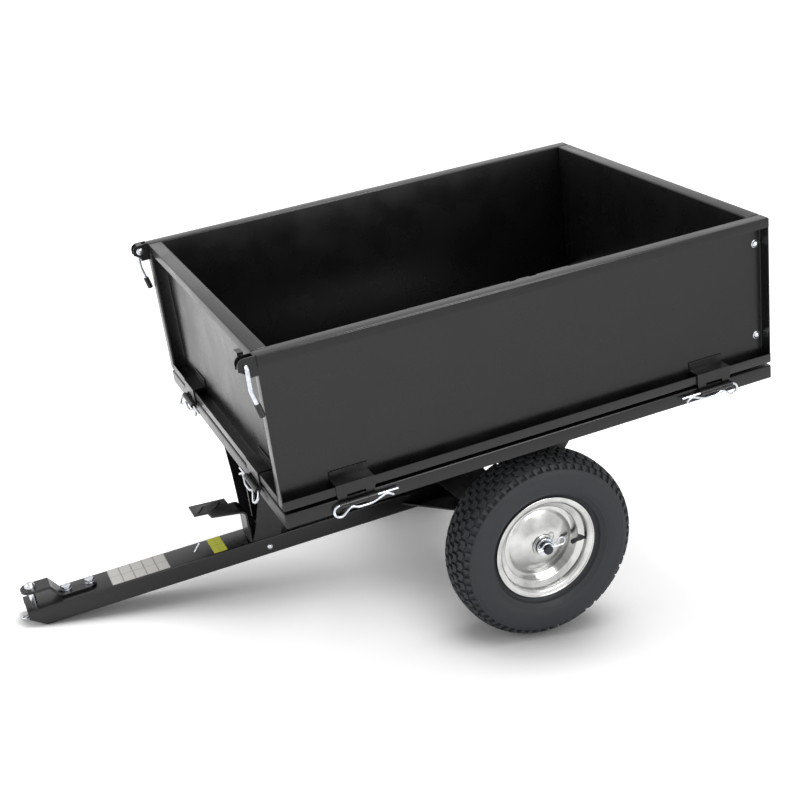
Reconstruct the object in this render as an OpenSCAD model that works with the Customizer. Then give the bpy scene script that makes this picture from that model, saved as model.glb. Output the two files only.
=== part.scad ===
// Tipping dump cart for a small tractor, in millimetres.
// The cart is drawn level, with the axle through the origin, X to the rear and Z up.
// posed() then puts the tyres and the nose of the drawbar on the floor.

/* [Bed] */
// Length of the bed
bed_l = 1040; // [960:1:1120]
// Width of the bed
bed_w = 810; // [770:1:840]
// Height of the tray's lower edge above the axle
bed_z = 235; // [225:1:250]
// Height of the tray's turned-down edge
tray_h = 27; // [24:1:32]
// Sheet steel of the tray and the panels
sheet = 2; // [1.5:0.1:3]
// Gap between the tray and the panels
panel_gap = 6; // [4:0.5:8]
// Height of the panels
panel_h = 303; // [260:1:340]
// Depth of the panels' folded edges
panel_d = 30; // [26:1:34]
// Height of the outer lip along the top and the bottom of a panel
lip_h = 19; // [14:1:24]
// Gap between neighbouring panels
corner_gap = 0.5; // [0.4:0.1:1.5]
// Width of the channels under the tray
channel_w = 46; // [36:1:50]

/* [Running gear] */
// Outer radius of the tyres
tyre_r = 196; // [190:1:204]
// Width of the tyres
tyre_w = 106; // [100:1:114]
// Distance between the tyres' middles
track = 682; // [676:1:688]
// Radius of the rim over its flanges
rim_r = 111; // [108:1:114]
// Width of the rim over its flanges
rim_w = 68; // [60:1:76]
// Diameter of the axle
axle_d = 19; // [17:0.5:20]
// Outer diameter of the wheel hubs
hub_d = 40; // [36:1:44]
// Outer diameter of the sleeve that holds the axle on the drawbar
sleeve_d = 32; // [28:0.5:34]
// Distance between the bed's pivot plates
pivot_span = 430; // [410:1:440]
// Thickness of the pivot plates
pivot_t = 5; // [4:0.5:6]
// Radius of the pivot plates' lower end
pivot_r = 46; // [38:1:52]
// Radial clearance of a running fit
run_fit = 0.08; // [0.05:0.01:0.1]

/* [Drawbar] */
// Width of the drawbar's tube
bar_w = 72; // [66:1:76]
// Height of the drawbar's tube
bar_h = 40; // [36:1:44]
// Wall of the drawbar's tube
bar_t = 3; // [2.5:0.1:4]
// Distance from the axle to the front end of the drawbar
nose_x = 976; // [940:1:1020]
// Length of the slanted cut below the drawbar's front end
nose_cut = 33; // [24:1:44]
// Distance from the drawbar's front end back to the hitch pin
pin_back = 18; // [16:0.5:22]
// Diameter of the hitch pin
pin_d = 13; // [11:0.5:14]
// Opening of the hitch between strap and drawbar
hitch_gap = 28; // [22:1:34]
// Thickness of the hitch strap
strap_t = 6; // [4:0.5:8]
// Width of the hitch strap
strap_w = 40; // [34:1:46]

/* [Bed rest and pedal] */
// Distance from the bed's front edge back to the front of the bed rest
rest_back = 18; // [14:1:28]
// Depth of the bed rest's side walls
rest_d = 58; // [54:1:64]
// Width of the bed rest at its top
rest_w = 300; // [270:1:320]
// Plate thickness of the bed rest
rest_t = 3; // [2:0.1:4]
// Height of the pedal's tread above the axle
tread_z = 105; // [95:1:115]
// Height of the pedal's pivot above the axle
pedal_z = 43; // [41:0.5:46]
// Thickness of the pedal's plate
pedal_t = 4; // [3:0.1:5]

/* [Hinges] */
// Distance of the side hinges from the middle of the bed
side_hinge = 382; // [340:1:400]
// Distance of the front and rear hinges from the middle of the bed
end_hinge = 230; // [200:1:260]
// Outer diameter of the hinge knuckles
knuckle_d = 12; // [11:0.5:13]
// Length of the tray's middle knuckle
knuckle_mid = 36; // [32:1:40]
// Length of each of the panel's outer knuckles
knuckle_end = 18; // [16:0.5:20]
// Distance from the bed's side to the hinge axis
hinge_out = 8; // [7.5:0.1:9]
// Height of the hinge axis above the tray's lower edge
hinge_up = 18; // [17:0.5:19]
// Wire of the spring clips
clip_d = 5; // [4:0.5:5.5]

/* [Latches] */
// Distance of the latch pivot in front of the bed
latch_out = 20; // [20:0.5:22]
// Distance of the latch pivot below the rim
latch_down = 13; // [12.5:0.1:13.5]
// Diameter of the latch levers
lever_d = 8; // [6:0.5:9]
// Length of the straight upper part of a lever
lever_l = 41; // [34:1:50]

/* [Hidden] */
$fn = 48;
eps = 0.01;
near = 0.3;

black = "#202224";
zinc = "#c3c6ca";
rubber = "#2b2d2f";
polished = "#d4d6d6";

// The pose on the floor: the lower corner behind the nose's slanted cut touches it
cut_x = nose_x - nose_cut;
nose_down = asin(tyre_r / norm([cut_x, bar_h / 2])) - atan(bar_h / 2 / cut_x);
front_reach = nose_x + 2;
rear_reach = bed_l / 2 + hinge_out + knuckle_d / 2;
front_edge = front_reach * cos(nose_down) + (bar_h / 2 + hitch_gap + strap_t) * sin(nose_down);
rear_edge = rear_reach * cos(nose_down) - (bed_z + hinge_up - knuckle_d) * sin(nose_down);
shift_x = (front_edge - rear_edge) / 2;

// Heights of the bed's parts above the axle
floor_z = bed_z + tray_h;
panel_z = floor_z + panel_gap;
rim_z = panel_z + panel_h;
hinge_z = bed_z + hinge_up;
channel_h = tray_h - sheet;
channel_t = 3;

// Drawbar and hitch
bar_top = bar_h / 2;
bar_rear = sleeve_d / 2 + 14;
nose_face = 17;
pin_x = nose_x - pin_back;
strap_z = bar_top + hitch_gap;
strap_bolts = [pin_x - 68, pin_x - 115];
strap_end = pin_x - 108;
joggle = 20;
hitch_bolt_d = 10;
pin_hole_fit = 0.4;
pin_low = 13;
pin_clip_z = -5;
pin_clip_d = 3.2;

// Axle stations along Y
wheel_y = track / 2;
hub_in = -45;
hub_out = 25;
bush_flange = 3;
washer_t = 3;
washer_d = 37;
axle_clip_d = 3.6;
clip_y = wheel_y + hub_out + bush_flange + washer_t + near + 2 * axle_clip_d;
axle_half = clip_y + 7;
plate_y = pivot_span / 2;
bush_d = axle_d + 12;
sleeve_half = plate_y - pivot_t / 2 - bush_flange - 1;
spacer_from = plate_y + pivot_t / 2 + bush_flange + 0.5;
spacer_to = wheel_y + hub_in - bush_flange - 0.5;

// Wheel outline
bead_r = rim_r - 13;
rim_t = 2.4;
well_r = bead_r - 14;
tyre_mid = (tyre_r + rim_r + 1) / 2;
tyre_rise = (tyre_r - rim_r - 1) / 2;
tyre_wall = 9;
tyre_square = 2.6;

// Bed rest and pedal
rest_x = bed_l / 2 - rest_back;
rest_pad_h = 8.7;
rest_z = bed_z - near - rest_pad_h;
rest_bolt_x = rest_x - 30;
pad_y = rest_w / 2 - 34;
pivot_x = rest_x - 27;
pedal_pin_d = 10;
boss_d = 20;
boss_from = -30;
boss_to = -12;
lug_t = 4;
lug_left = boss_from - 1 - lug_t;
lug_right = -2;
hook_y = -26;
hook_t = 6;
hook_clear = 7;
hook_x = rest_x - hook_clear;
hook_w = 9;
striker_d = 12;
striker_x = hook_x - hook_w - 2 - striker_d / 2;
striker_z = bed_z - 14;
leg_x = rest_x + 8;
anchor_x = rest_x + 120;
anchor_lean = 38;

// Hinges
knuckle_gap = 0.5;
hinge_half = knuckle_mid / 2 + knuckle_gap + knuckle_end;
hinge_bore = clip_d + 2 * run_fit;
hinge_strap_w = 75;
leaf_t = 3;
front_clip_swing = 30;

// Latches, in a corner frame: X from the bed's front, Y from the bed's side, Z from the rim
ear_t = 3;
ear_r = 14;
ears = [2, 20];
latch_bolt_d = 8;
finger_from = 23.3;
finger_web = 3;
finger_to = 44;
finger_low = latch_down + 3;
finger_t = 2.8;
finger_w = 11;
lever_bend = 14;
lever_bend_r = 24;

module posed() {
    translate([shift_x, 0, tyre_r]) rotate([0, -nose_down, 0]) children();
}

// A plate drawn in X and Z, spread over a width around y
module side_plate(y, t) {
    translate([0, y + t / 2, 0]) rotate([90, 0, 0]) linear_extrude(t) children();
}

// A rod or a bore along Y
module rod_y(d, from, to) {
    translate([0, from, 0]) rotate([-90, 0, 0]) cylinder(d = d, h = to - from);
}

module ring_y(d, bore, from, to) {
    difference() {
        rod_y(d, from, to);
        rod_y(bore, from - 1, to + 1);
    }
}

module hex_z(flats, h) {
    cylinder(d = flats / cos(30), h = h, $fn = 6);
}

// A low domed head on the XY plane
module dome(d, h) {
    ball = (d * d / 4 + h * h) / (2 * h);
    difference() {
        translate([0, 0, h - ball]) sphere(r = ball, $fn = 64);
        translate([0, 0, -2 * ball]) cylinder(r = 2 * ball, h = 2 * ball);
    }
}

// Wire bending: each step is a straight run, a bend radius and a bend angle, positive to the left
bend_step = 16;
function bent_path(steps, p, heading = 0, i = 0) = i >= len(steps) ? [] : let (
    q = p + steps[i][0] * [cos(heading), sin(heading)],
    r = steps[i][1],
    turn = steps[i][2],
    side = sign(turn),
    count = max(1, ceil(abs(turn) / bend_step)),
    centre = q + side * r * [-sin(heading), cos(heading)],
    from = steps[i][0] > 0 ? 0 : 1,
    bend = turn == 0 ? [q] : [
        for (k = [from:count]) let (a = heading + turn * k / count) centre + side * r * [sin(a), -cos(a)]
    ]
) concat(bend, bent_path(steps, bend[len(bend) - 1], heading + turn, i + 1));

function unit(v) = v / norm(v);
function way(p, i) = unit(p[min(i + 1, len(p) - 1)] - p[max(i - 1, 0)]);
function tube_ring(p, i, r, sides, normal) = let (
    t = way(p, i),
    u = unit(cross(t, normal)),
    v = cross(t, u)
) [for (k = [0:sides - 1]) p[i] + r * (cos(k * 360 / sides) * u + sin(k * 360 / sides) * v)];

// A round bar swept along points, as one closed mesh
module tube(p, r, sides, normal = [0, 0, 1]) {
    n = len(p);
    points = [for (i = [0:n - 1]) each tube_ring(p, i, r, sides, normal)];
    walls = [for (i = [0:n - 2]) for (k = [0:sides - 1]) each let (
        a = i * sides + k, b = i * sides + (k + 1) % sides
    ) [[a, b + sides, b], [a, a + sides, b + sides]]];
    caps = [for (k = [1:sides - 2]) each [
        [0, k, k + 1], [(n - 1) * sides, (n - 1) * sides + k + 1, (n - 1) * sides + k]
    ]];
    polyhedron(points, concat(walls, caps));
}

// A straight leg along X that ends in bends: the leg is a true cylinder
module bent_wire(from, to, steps, d) {
    flat = bent_path(steps, [to, 0]);
    translate([from, 0, 0]) rotate([0, 90, 0]) cylinder(d = d, h = to - 2 - from);
    tube([for (q = concat([[to - 2, 0], [to, 0]], flat)) [q[0], q[1], 0]], d * 0.49, 8);
}

// Spring clip through a cross hole: its wavy leg hugs a pin of radius r on the leg's right side
module cross_clip(r, d, ring) {
    low = d + 0.4;
    hug = r + d / 2 + near;
    soft = 2 * d;
    b = acos((soft + low) / (soft + hug));
    rise = (ring * (1 + cos(50)) - low - soft * (1 - cos(50))) / sin(50);
    ring_x = (hug + soft) * sin(b) + (ring + soft) * sin(50) + rise * cos(50);
    bent_wire(-r - 12, ring_x, [
        [0, ring, -230], [rise, soft, 50 + b], [0, hug, -2 * b], [0, soft, b + 24], [4, 1, 0]
    ], d);
}

// Spring clip that is the pin of a hinge: X along the axis with the ring outboard, Y down
module hinge_clip() {
    under = knuckle_d / 2 + clip_d / 2 + 0.4;
    ring = 11.25;
    inboard = hinge_half + 42;
    rise = (ring * (1 + cos(40)) - under - 10 * (1 - cos(40))) / sin(40);
    bent_wire(-inboard, hinge_half + 1, [
        [0, ring, -220], [rise, 10, 65], [4, 20, -25],
        [hinge_half - 19, 30, -20], [21.5, 12, 55], [8, 1, 0]
    ], clip_d);
}

// Frames on the bed's four sides: Y = 0 is the side, and outward is -Y
module on_left() {
    translate([0, -bed_w / 2, 0]) children();
}
module on_right() {
    mirror([0, 1, 0]) on_left() children();
}
module on_front() {
    rotate([0, 0, -90]) translate([0, -bed_l / 2, 0]) children();
}
module on_rear() {
    rotate([0, 0, 90]) translate([0, -bed_l / 2, 0]) children();
}
module hinge_pair(from_middle) {
    for (side = [0, 1]) mirror([side, 0, 0]) translate([from_middle, 0, 0]) children();
}
module at_hinge_axis() {
    translate([0, -hinge_out, hinge_z]) children();
}

// The chassis

module drawbar() posed() color(black) {
    length = nose_x + bar_rear;
    difference() {
        translate([-nose_x, -bar_w / 2, -bar_top]) cube([length, bar_w, bar_h]);
        translate([-nose_x - 1, -bar_w / 2 + bar_t, -bar_top + bar_t])
            cube([length + 2, bar_w - 2 * bar_t, bar_h - 2 * bar_t]);
        side_plate(0, bar_w + 2) polygon([
            [-nose_x - 1, bar_top - nose_face], [-nose_x, bar_top - nose_face],
            [-cut_x, -bar_top], [-cut_x, -bar_top - 1], [-nose_x - 1, -bar_top - 1]
        ]);
        rod_y(sleeve_d + 2 * run_fit, -bar_w, bar_w);
        translate([-pin_x, 0, 0]) cylinder(d = pin_d + 2 * pin_hole_fit, h = bar_h);
        for (x = strap_bolts) translate([-x, 0, 0]) cylinder(d = hitch_bolt_d + 0.6, h = bar_h);
        translate([-rest_bolt_x, 0, -2]) rod_y(hitch_bolt_d + 0.6, -bar_w, bar_w);
        translate([-anchor_x, 0, bar_top]) rotate([0, anchor_lean, 0]) cylinder(d = 5, h = 30, center = true);
    }
}

module axle_sleeve() posed() color(black)
    ring_y(sleeve_d, axle_d + 2 * run_fit, -sleeve_half, sleeve_half);

module axle_braces() posed() color(black) {
    for (side = [0, 1]) mirror([0, side, 0]) translate([0, 0, -2]) linear_extrude(4) polygon([
        [-170, bar_w / 2], [-sleeve_d / 2, bar_w / 2],
        [-sleeve_d / 2, sleeve_half - 20], [-sleeve_d / 2 - 16, sleeve_half - 20]
    ]);
}

module axle() posed() color(zinc) {
    difference() {
        rod_y(axle_d, -axle_half, axle_half);
        for (y = [-clip_y, clip_y]) translate([0, y, 0])
            rotate([0, 90, 0]) cylinder(d = axle_clip_d + 0.4, h = 2 * axle_d, center = true);
    }
}

module axle_spacers() posed() color(zinc) {
    for (side = [0, 1]) mirror([0, side, 0])
        ring_y(axle_d + 7, axle_d + 2 * run_fit, spacer_from, spacer_to);
}

module axle_washers() posed() color(zinc) {
    outer = wheel_y + hub_out + bush_flange + near;
    for (side = [0, 1]) mirror([0, side, 0])
        ring_y(washer_d, axle_d + 0.2, outer, outer + washer_t);
}

module axle_clips() posed() color(zinc) {
    for (side = [0, 1]) mirror([0, side, 0]) translate([0, clip_y, 0])
        rotate([90, 0, 0]) mirror([0, 1, 0]) cross_clip(axle_d / 2, axle_clip_d, 8);
}

// Folded plate that carries the front of the bed: a front plate with two slanted side walls
module rest_outline(inset) {
    slope = (rest_w - bar_w) / 2 / (rest_z - bar_top);
    foot = bar_w / 2 - inset;
    polygon([
        [-foot, bar_top], [foot, bar_top],
        [foot + slope * (rest_z - bar_top), rest_z], [-foot - slope * (rest_z - bar_top), rest_z]
    ]);
}

module across_x(from, depth) {
    translate([from, 0, 0]) rotate([90, 0, 90]) linear_extrude(depth) children();
}

module bed_rest() posed() color(black) {
    pin_y = [lug_left, lug_right];
    front = -rest_x;
    back = rest_d - rest_x;
    difference() {
        union() {
            across_x(back - rest_t, rest_t) rest_outline(0);
            intersection() {
                across_x(front - 3, rest_d + 3) difference() {
                    rest_outline(0);
                    rest_outline(rest_t * 1.2);
                }
                side_plate(0, rest_w + 2) polygon([
                    [front - 3, bar_top], [front + 2, bar_top + 45], [front + 6, bar_top + 100],
                    [front + 9, rest_z], [back, rest_z], [back, bar_top]
                ]);
            }
            for (y = pin_y) translate([0, y, 0]) rotate([90, 0, 0]) mirror([0, 0, 1]) linear_extrude(lug_t)
                polygon([
                    [-pivot_x - 14, bar_top], [-pivot_x + 14, bar_top],
                    [-pivot_x + 10, pedal_z + 12], [-pivot_x - 10, pedal_z + 12]
                ]);
            intersection() {
                across_x(front + 9, rest_d - 9) rest_outline(0);
                for (side = [0, 1]) mirror([0, side, 0])
                    translate([front, 62, rest_z - rest_t]) cube([rest_d, rest_w / 2, rest_t]);
            }
        }
        translate([-pivot_x, 0, pedal_z])
            rod_y(pedal_pin_d + 2 * run_fit, lug_left - 1, lug_right + lug_t + 1);
        for (side = [0, 1]) mirror([0, side, 0])
            translate([front + rest_d / 2, pad_y, rest_z - 2 * rest_t]) cylinder(d = 8, h = 4 * rest_t);
    }
}

module rest_pads() posed() color(rubber) {
    for (side = [0, 1]) mirror([0, side, 0]) translate([-rest_x + rest_d / 2, pad_y, rest_z])
        rotate_extrude() polygon([
            [0, -rest_t - 4], [6, -rest_t - 4], [3.8, -rest_t - 0.2], [3.8, 0],
            [17, 0], [17, rest_pad_h - 2], [15, rest_pad_h], [0, rest_pad_h]
        ]);
}

module rest_bolt() posed() color(zinc) {
    translate([-rest_bolt_x, 0, -2]) {
        rod_y(hitch_bolt_d, -bar_w / 2, bar_w / 2 + 13);
        translate([0, -bar_w / 2, 0]) rotate([90, 0, 0]) dome(13, 4);
        difference() {
            translate([0, bar_w / 2, 0]) rotate([-90, 0, 0]) hex_z(17, 9);
            rod_y(hitch_bolt_d - eps, bar_w / 2 - 1, bar_w / 2 + 10);
        }
    }
}

module anchor_pin() posed() color(zinc)
    translate([-anchor_x, 0, bar_top]) rotate([0, anchor_lean, 0])
        translate([0, 0, -18]) cylinder(d = 4, h = 38);

module hitch_strap() posed() color(black) {
    half = strap_w / 2;
    end_x = nose_x + 2 - half;
    foot = pin_x - 55;
    difference() {
        intersection() {
            side_plate(0, strap_w) polygon([
                [-end_x - half, strap_z], [-foot - joggle, strap_z], [-foot, bar_top],
                [-strap_end + half, bar_top], [-strap_end + half, bar_top + strap_t],
                [-foot + strap_t * 0.42, bar_top + strap_t],
                [-foot - joggle + strap_t * 0.42, strap_z + strap_t], [-end_x - half, strap_z + strap_t]
            ]);
            translate([0, 0, bar_top - 1]) linear_extrude(hitch_gap + strap_t + 2) {
                translate([-end_x, -half]) square([end_x - strap_end, strap_w]);
                translate([-end_x, 0]) circle(r = half);
                translate([-strap_end, 0]) circle(r = half);
            }
        }
        translate([-pin_x, 0, bar_top]) cylinder(d = pin_d + 2 * pin_hole_fit, h = 2 * hitch_gap);
        for (x = strap_bolts) translate([-x, 0, 0]) cylinder(d = hitch_bolt_d + 0.6, h = 2 * bar_h);
    }
}

module hitch_bolts() posed() color(zinc) {
    top = bar_top + strap_t;
    nut_h = 8;
    for (x = strap_bolts) translate([-x, 0, 0]) {
        translate([0, 0, bar_top - bar_t - nut_h - 3])
            cylinder(d = hitch_bolt_d, h = top - bar_top + bar_t + nut_h + 3 + 2);
        translate([0, 0, top]) cylinder(d = 20, h = 2);
        translate([0, 0, top + 2]) hex_z(17, 6.5);
        translate([0, 0, bar_top - bar_t - nut_h]) hex_z(17, nut_h);
    }
}

module hitch_pin() posed() color(zinc) {
    translate([-pin_x, 0, 0]) difference() {
        union() {
            translate([0, 0, -pin_low]) cylinder(d = pin_d, h = pin_low + strap_z + strap_t);
            translate([0, 0, strap_z + strap_t]) cylinder(d = 22, h = 3);
            translate([0, 0, strap_z + strap_t + 3]) dome(22, 9);
        }
        translate([0, 0, pin_clip_z]) rotate([0, 90, 0])
            cylinder(d = pin_clip_d + 0.4, h = 2 * pin_d, center = true);
    }
}

module hitch_pin_clip() posed() color(zinc)
    translate([-pin_x, 0, pin_clip_z]) mirror([1, 0, 0]) cross_clip(pin_d / 2, pin_clip_d, 5.5);

// The pedal: a stepped tread, a bent leg in front of the bed rest, an arm to the pivot and a hook
module latch_pedal() posed() color(black) {
    leg_low = pedal_z - boss_d / 2 - 3;
    bend = 14;
    hook_top = striker_z + striker_d / 2 + 0.6;
    tread = leg_x + bend;
    catch_x = striker_x + 4.6;
    difference() {
        union() {
            // stepped tread and its arm
            translate([-tread, 0, tread_z - pedal_t]) linear_extrude(pedal_t) polygon([
                [-86, -7], [-59, -12], [-56, -33], [0, -51], [0, 1], [-10, 1], [-11, 28], [-86, 38]
            ]);
            // rounded bend down to the leg
            translate([0, 1, 0]) rotate([90, 0, 0]) linear_extrude(52) intersection() {
                translate([-tread, tread_z - bend]) difference() {
                    circle(r = bend);
                    circle(r = bend - pedal_t);
                }
                translate([-tread, tread_z - bend]) square(bend);
            }
            translate([-leg_x - pedal_t, -51, leg_low]) cube([pedal_t, 52, tread_z - bend - leg_low + eps]);
            // arm back to the pivot
            translate([-leg_x - eps, boss_from, pedal_z - 8])
                cube([leg_x - pivot_x, boss_to - boss_from, 16]);
            translate([-pivot_x, 0, pedal_z]) rod_y(boss_d, boss_from, boss_to);
            // hook: a flat bar between the walls of the bed rest
            side_plate(hook_y + hook_t / 2, hook_t) polygon([
                [-pivot_x - 8, pedal_z], [-pivot_x + 8, pedal_z], [-hook_x + hook_w, pedal_z + 34],
                [-hook_x + hook_w, hook_top], [-hook_x, hook_top], [-hook_x, pedal_z + 30]
            ]);
        }
        translate([-pivot_x, 0, pedal_z]) rod_y(pedal_pin_d + 2 * run_fit, boss_from - 1, boss_to + 1);
    }
    // catch on the hook's end, over the striker
    side_plate(hook_y + hook_t / 2, hook_t) polygon([
        [-hook_x, hook_top + near / 2], [-catch_x, hook_top + near / 2],
        [-hook_x + hook_w - 1, bed_z - 2], [-hook_x, bed_z - 2]
    ]);
    // two raised ribs on the tread
    for (x = [-68, -32]) translate([-tread + x, 9, tread_z]) rotate([0, 0, 55])
        translate([-13, -2, 0]) cube([26, 4, 1.5]);
}

module pedal_pin() posed() color(zinc) {
    translate([-pivot_x, 0, pedal_z]) {
        rod_y(pedal_pin_d, lug_left - 2, lug_right + lug_t + 7);
        rod_y(pedal_pin_d + 6, lug_left - 4, lug_left - near);
        ring_y(pedal_pin_d + 6, pedal_pin_d - eps, lug_right + lug_t + 1, lug_right + lug_t + 4);
    }
}

// Return spring round the pedal's pin: one open helix with two legs, swept as a six-sided tube
spring_wire = 1.6;
spring_r = pedal_pin_d / 2 + spring_wire / 2 + 1.2;
spring_curls = 3;
spring_pitch = (lug_right - boss_to - 2.4 - spring_wire) / spring_curls;
spring_rings = spring_curls * 8;
spring_leg = 26;
function helix(i) = let (a = i * 45) [
    spring_r * cos(a), boss_to + 1.2 + spring_wire / 2 + spring_pitch * i / 8, spring_r * sin(a)
];
spring_path = concat(
    [helix(0) + [0, 0, -spring_leg * 0.55]],
    [for (i = [0:spring_rings]) helix(i)],
    [helix(spring_rings) + [0, 0, spring_leg]]
);
function spring_gap() = min([
    for (i = [0:spring_rings - 6]) for (j = [i + 6:spring_rings]) norm(helix(i) - helix(j))
]) - spring_wire;
module pedal_spring() posed() color(zinc) {
    echo(least_gap_of_pedal_spring = spring_gap());
    translate([-pivot_x, 0, pedal_z]) tube(spring_path, spring_wire / 2, 6, [0, 1, 0.01]);
}

// The bed

module tray() posed() color(black) {
    translate([-bed_l / 2, -bed_w / 2, bed_z]) difference() {
        cube([bed_l, bed_w, tray_h]);
        translate([sheet, sheet, -1]) cube([bed_l - 2 * sheet, bed_w - 2 * sheet, tray_h - sheet + 1]);
    }
}

// Three channels across and two rows lengthwise between them, open upwards against the floor
module channel(length) {
    difference() {
        translate([-channel_w / 2, 0, bed_z]) cube([channel_w, length, channel_h]);
        translate([-channel_w / 2 + channel_t, -1, bed_z + channel_t])
            cube([channel_w - 2 * channel_t, length + 2, channel_h]);
    }
}

module tray_channels() posed() color(black) {
    inner_w = bed_w - 2 * sheet;
    rear = bed_l / 2 - sheet - channel_w / 2;
    stations = [-rest_x + channel_w / 2, 0, rear];
    for (x = stations) translate([x, -inner_w / 2, 0]) channel(inner_w);
    for (i = [0, 1]) for (y = [-plate_y, plate_y])
        translate([stations[i] + channel_w / 2 + near / 2, y, 0]) rotate([0, 0, -90])
            channel(stations[i + 1] - stations[i] - channel_w - near);
}

module pivot_plate() {
    lean = 215;
    difference() {
        side_plate(plate_y, pivot_t) {
            polygon([
                [-lean, bed_z], [-lean, bed_z - 24], [-pivot_r * 0.9, -pivot_r * 0.3],
                [pivot_r * 0.9, -pivot_r * 0.3], [lean, bed_z - 24], [lean, bed_z]
            ]);
            circle(r = pivot_r);
        }
        rod_y(bush_d - 4, plate_y - pivot_t, plate_y + pivot_t);
        side_plate(plate_y, 2 * pivot_t) translate([0, bed_z * 0.63]) circle(r = bed_z * 0.22);
    }
}

module left_pivot_plate() posed() color(black) mirror([0, 1, 0]) pivot_plate();
module right_pivot_plate() posed() color(black) pivot_plate();

module pivot_bushes() posed() color(rubber) {
    for (side = [0, 1]) mirror([0, side, 0]) difference() {
        union() {
            rod_y(bush_d - 4, plate_y - pivot_t / 2 - 1, plate_y + pivot_t / 2 + 1);
            rod_y(bush_d + 4, plate_y + pivot_t / 2, plate_y + pivot_t / 2 + bush_flange);
            rod_y(bush_d + 4, plate_y - pivot_t / 2 - bush_flange, plate_y - pivot_t / 2);
        }
        rod_y(axle_d + 2 * run_fit, plate_y - 20, plate_y + 20);
    }
}

// Cross rod under the front channel, between two lugs, that the pedal's hook catches
module striker() posed() color(black) {
    half = 26;
    mid = hook_y + hook_t / 2;
    translate([-striker_x, 0, striker_z]) rod_y(striker_d, mid - half - 4, mid + half + 4);
    for (y = [mid - half, mid + half]) side_plate(y, 5) {
        translate([-striker_x, striker_z]) circle(d = striker_d + 8);
        translate([-striker_x - striker_d / 2 - 4, striker_z]) square([striker_d + 8, bed_z - striker_z]);
    }
}

// Hinges: the tray's knuckle sits between the panel's two, and a spring clip is the pin

module tray_knuckle() {
    difference() {
        at_hinge_axis() {
            rotate([0, 90, 0]) cylinder(d = knuckle_d, h = knuckle_mid, center = true);
            translate([-knuckle_mid / 2, 0, -3]) cube([knuckle_mid, hinge_out, 6]);
            translate([-knuckle_mid / 2, hinge_out - leaf_t, -14]) cube([knuckle_mid, leaf_t, 22]);
        }
        at_hinge_axis() rotate([0, 90, 0]) cylinder(d = hinge_bore, h = 2 * knuckle_mid, center = true);
    }
}

module tray_knuckles() posed() color(black) {
    on_left() hinge_pair(side_hinge) tray_knuckle();
    on_right() hinge_pair(side_hinge) tray_knuckle();
    on_front() hinge_pair(end_hinge) tray_knuckle();
    on_rear() hinge_pair(end_hinge) tray_knuckle();
}

module hinge_clips(swung = 0) {
    at_hinge_axis() rotate([90 - swung, 0, 0]) hinge_clip();
}

module left_hinge_clips() posed() color(zinc) on_left() hinge_pair(side_hinge) hinge_clips();
module right_hinge_clips() posed() color(zinc) on_right() hinge_pair(side_hinge) hinge_clips();
module front_hinge_clips() posed() color(zinc) on_front() hinge_pair(end_hinge) hinge_clips(front_clip_swing);
module rear_hinge_clips() posed() color(zinc) on_rear() hinge_pair(end_hinge) hinge_clips();

// The panel's half of a hinge: a strap down the recess and over the bottom lip, with two knuckles
module panel_strap() {
    lip_top = panel_z + lip_h;
    back = panel_d - sheet;
    half = hinge_strap_w / 2;
    face = -leaf_t;
    translate([-half, back - leaf_t, lip_top]) cube([hinge_strap_w, leaf_t, 18]);
    translate([-half, face, lip_top]) cube([hinge_strap_w, back - face, leaf_t]);
    translate([-half, face, panel_z]) cube([hinge_strap_w, leaf_t, lip_h + eps]);
    for (side = [0, 1]) mirror([side, 0, 0]) difference() {
        union() {
            translate([knuckle_mid / 2 + knuckle_gap, face, hinge_z])
                cube([knuckle_end, leaf_t - 0.4, panel_z - hinge_z + eps]);
            at_hinge_axis() translate([knuckle_mid / 2 + knuckle_gap, 0, 0])
                rotate([0, 90, 0]) cylinder(d = knuckle_d, h = knuckle_end);
        }
        at_hinge_axis() rotate([0, 90, 0]) cylinder(d = hinge_bore, h = 4 * knuckle_end);
    }
}

module left_panel_hinges() posed() color(black) on_left() hinge_pair(side_hinge) panel_strap();
module right_panel_hinges() posed() color(black) on_right() hinge_pair(side_hinge) panel_strap();
module front_panel_hinges() posed() color(black) on_front() hinge_pair(end_hinge) panel_strap();
module rear_panel_hinges() posed() color(black) on_rear() hinge_pair(end_hinge) panel_strap();

// A folded panel: a sheet on the inner side, with flanges all round and a lip above and below
module pan(length) {
    translate([-length / 2, 0, panel_z]) difference() {
        cube([length, panel_d, panel_h]);
        translate([sheet, sheet, sheet]) cube([length - 2 * sheet, panel_d - 2 * sheet, panel_h - 2 * sheet]);
        translate([sheet, -1, lip_h]) cube([length - 2 * sheet, sheet + 2, panel_h - 2 * lip_h]);
    }
}

bolt_x = bed_l / 2 - panel_d / 2;
bolt_heights = [panel_z + 55, rim_z - 56];
panel_bolt_d = 8;
panel_bolt_tip = panel_d + 3.5;

module side_panel() {
    difference() {
        pan(bed_l);
        for (z = bolt_heights) translate([bolt_x, 0, z]) rod_y(panel_bolt_d + 0.4, panel_d / 2, panel_d + 5);
    }
}

module side_bolts() {
    head = panel_d - sheet;
    for (z = bolt_heights) translate([bolt_x, 0, z]) {
        rod_y(panel_bolt_d, head - 2, panel_bolt_tip);
        ring_y(17, panel_bolt_d - eps, head - 1.6, head);
        translate([0, head - 1.6, 0]) rotate([90, 0, 0]) dome(14, 5);
    }
}

module end_panel() {
    pan(bed_w - 2 * panel_d - 2 * corner_gap);
}

module left_panel() posed() color(black) on_left() side_panel();
module right_panel() posed() color(black) on_right() side_panel();
module left_panel_bolts() posed() color(zinc) on_left() side_bolts();
module right_panel_bolts() posed() color(zinc) on_right() side_bolts();
module front_panel() posed() color(black) on_front() end_panel();

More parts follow.
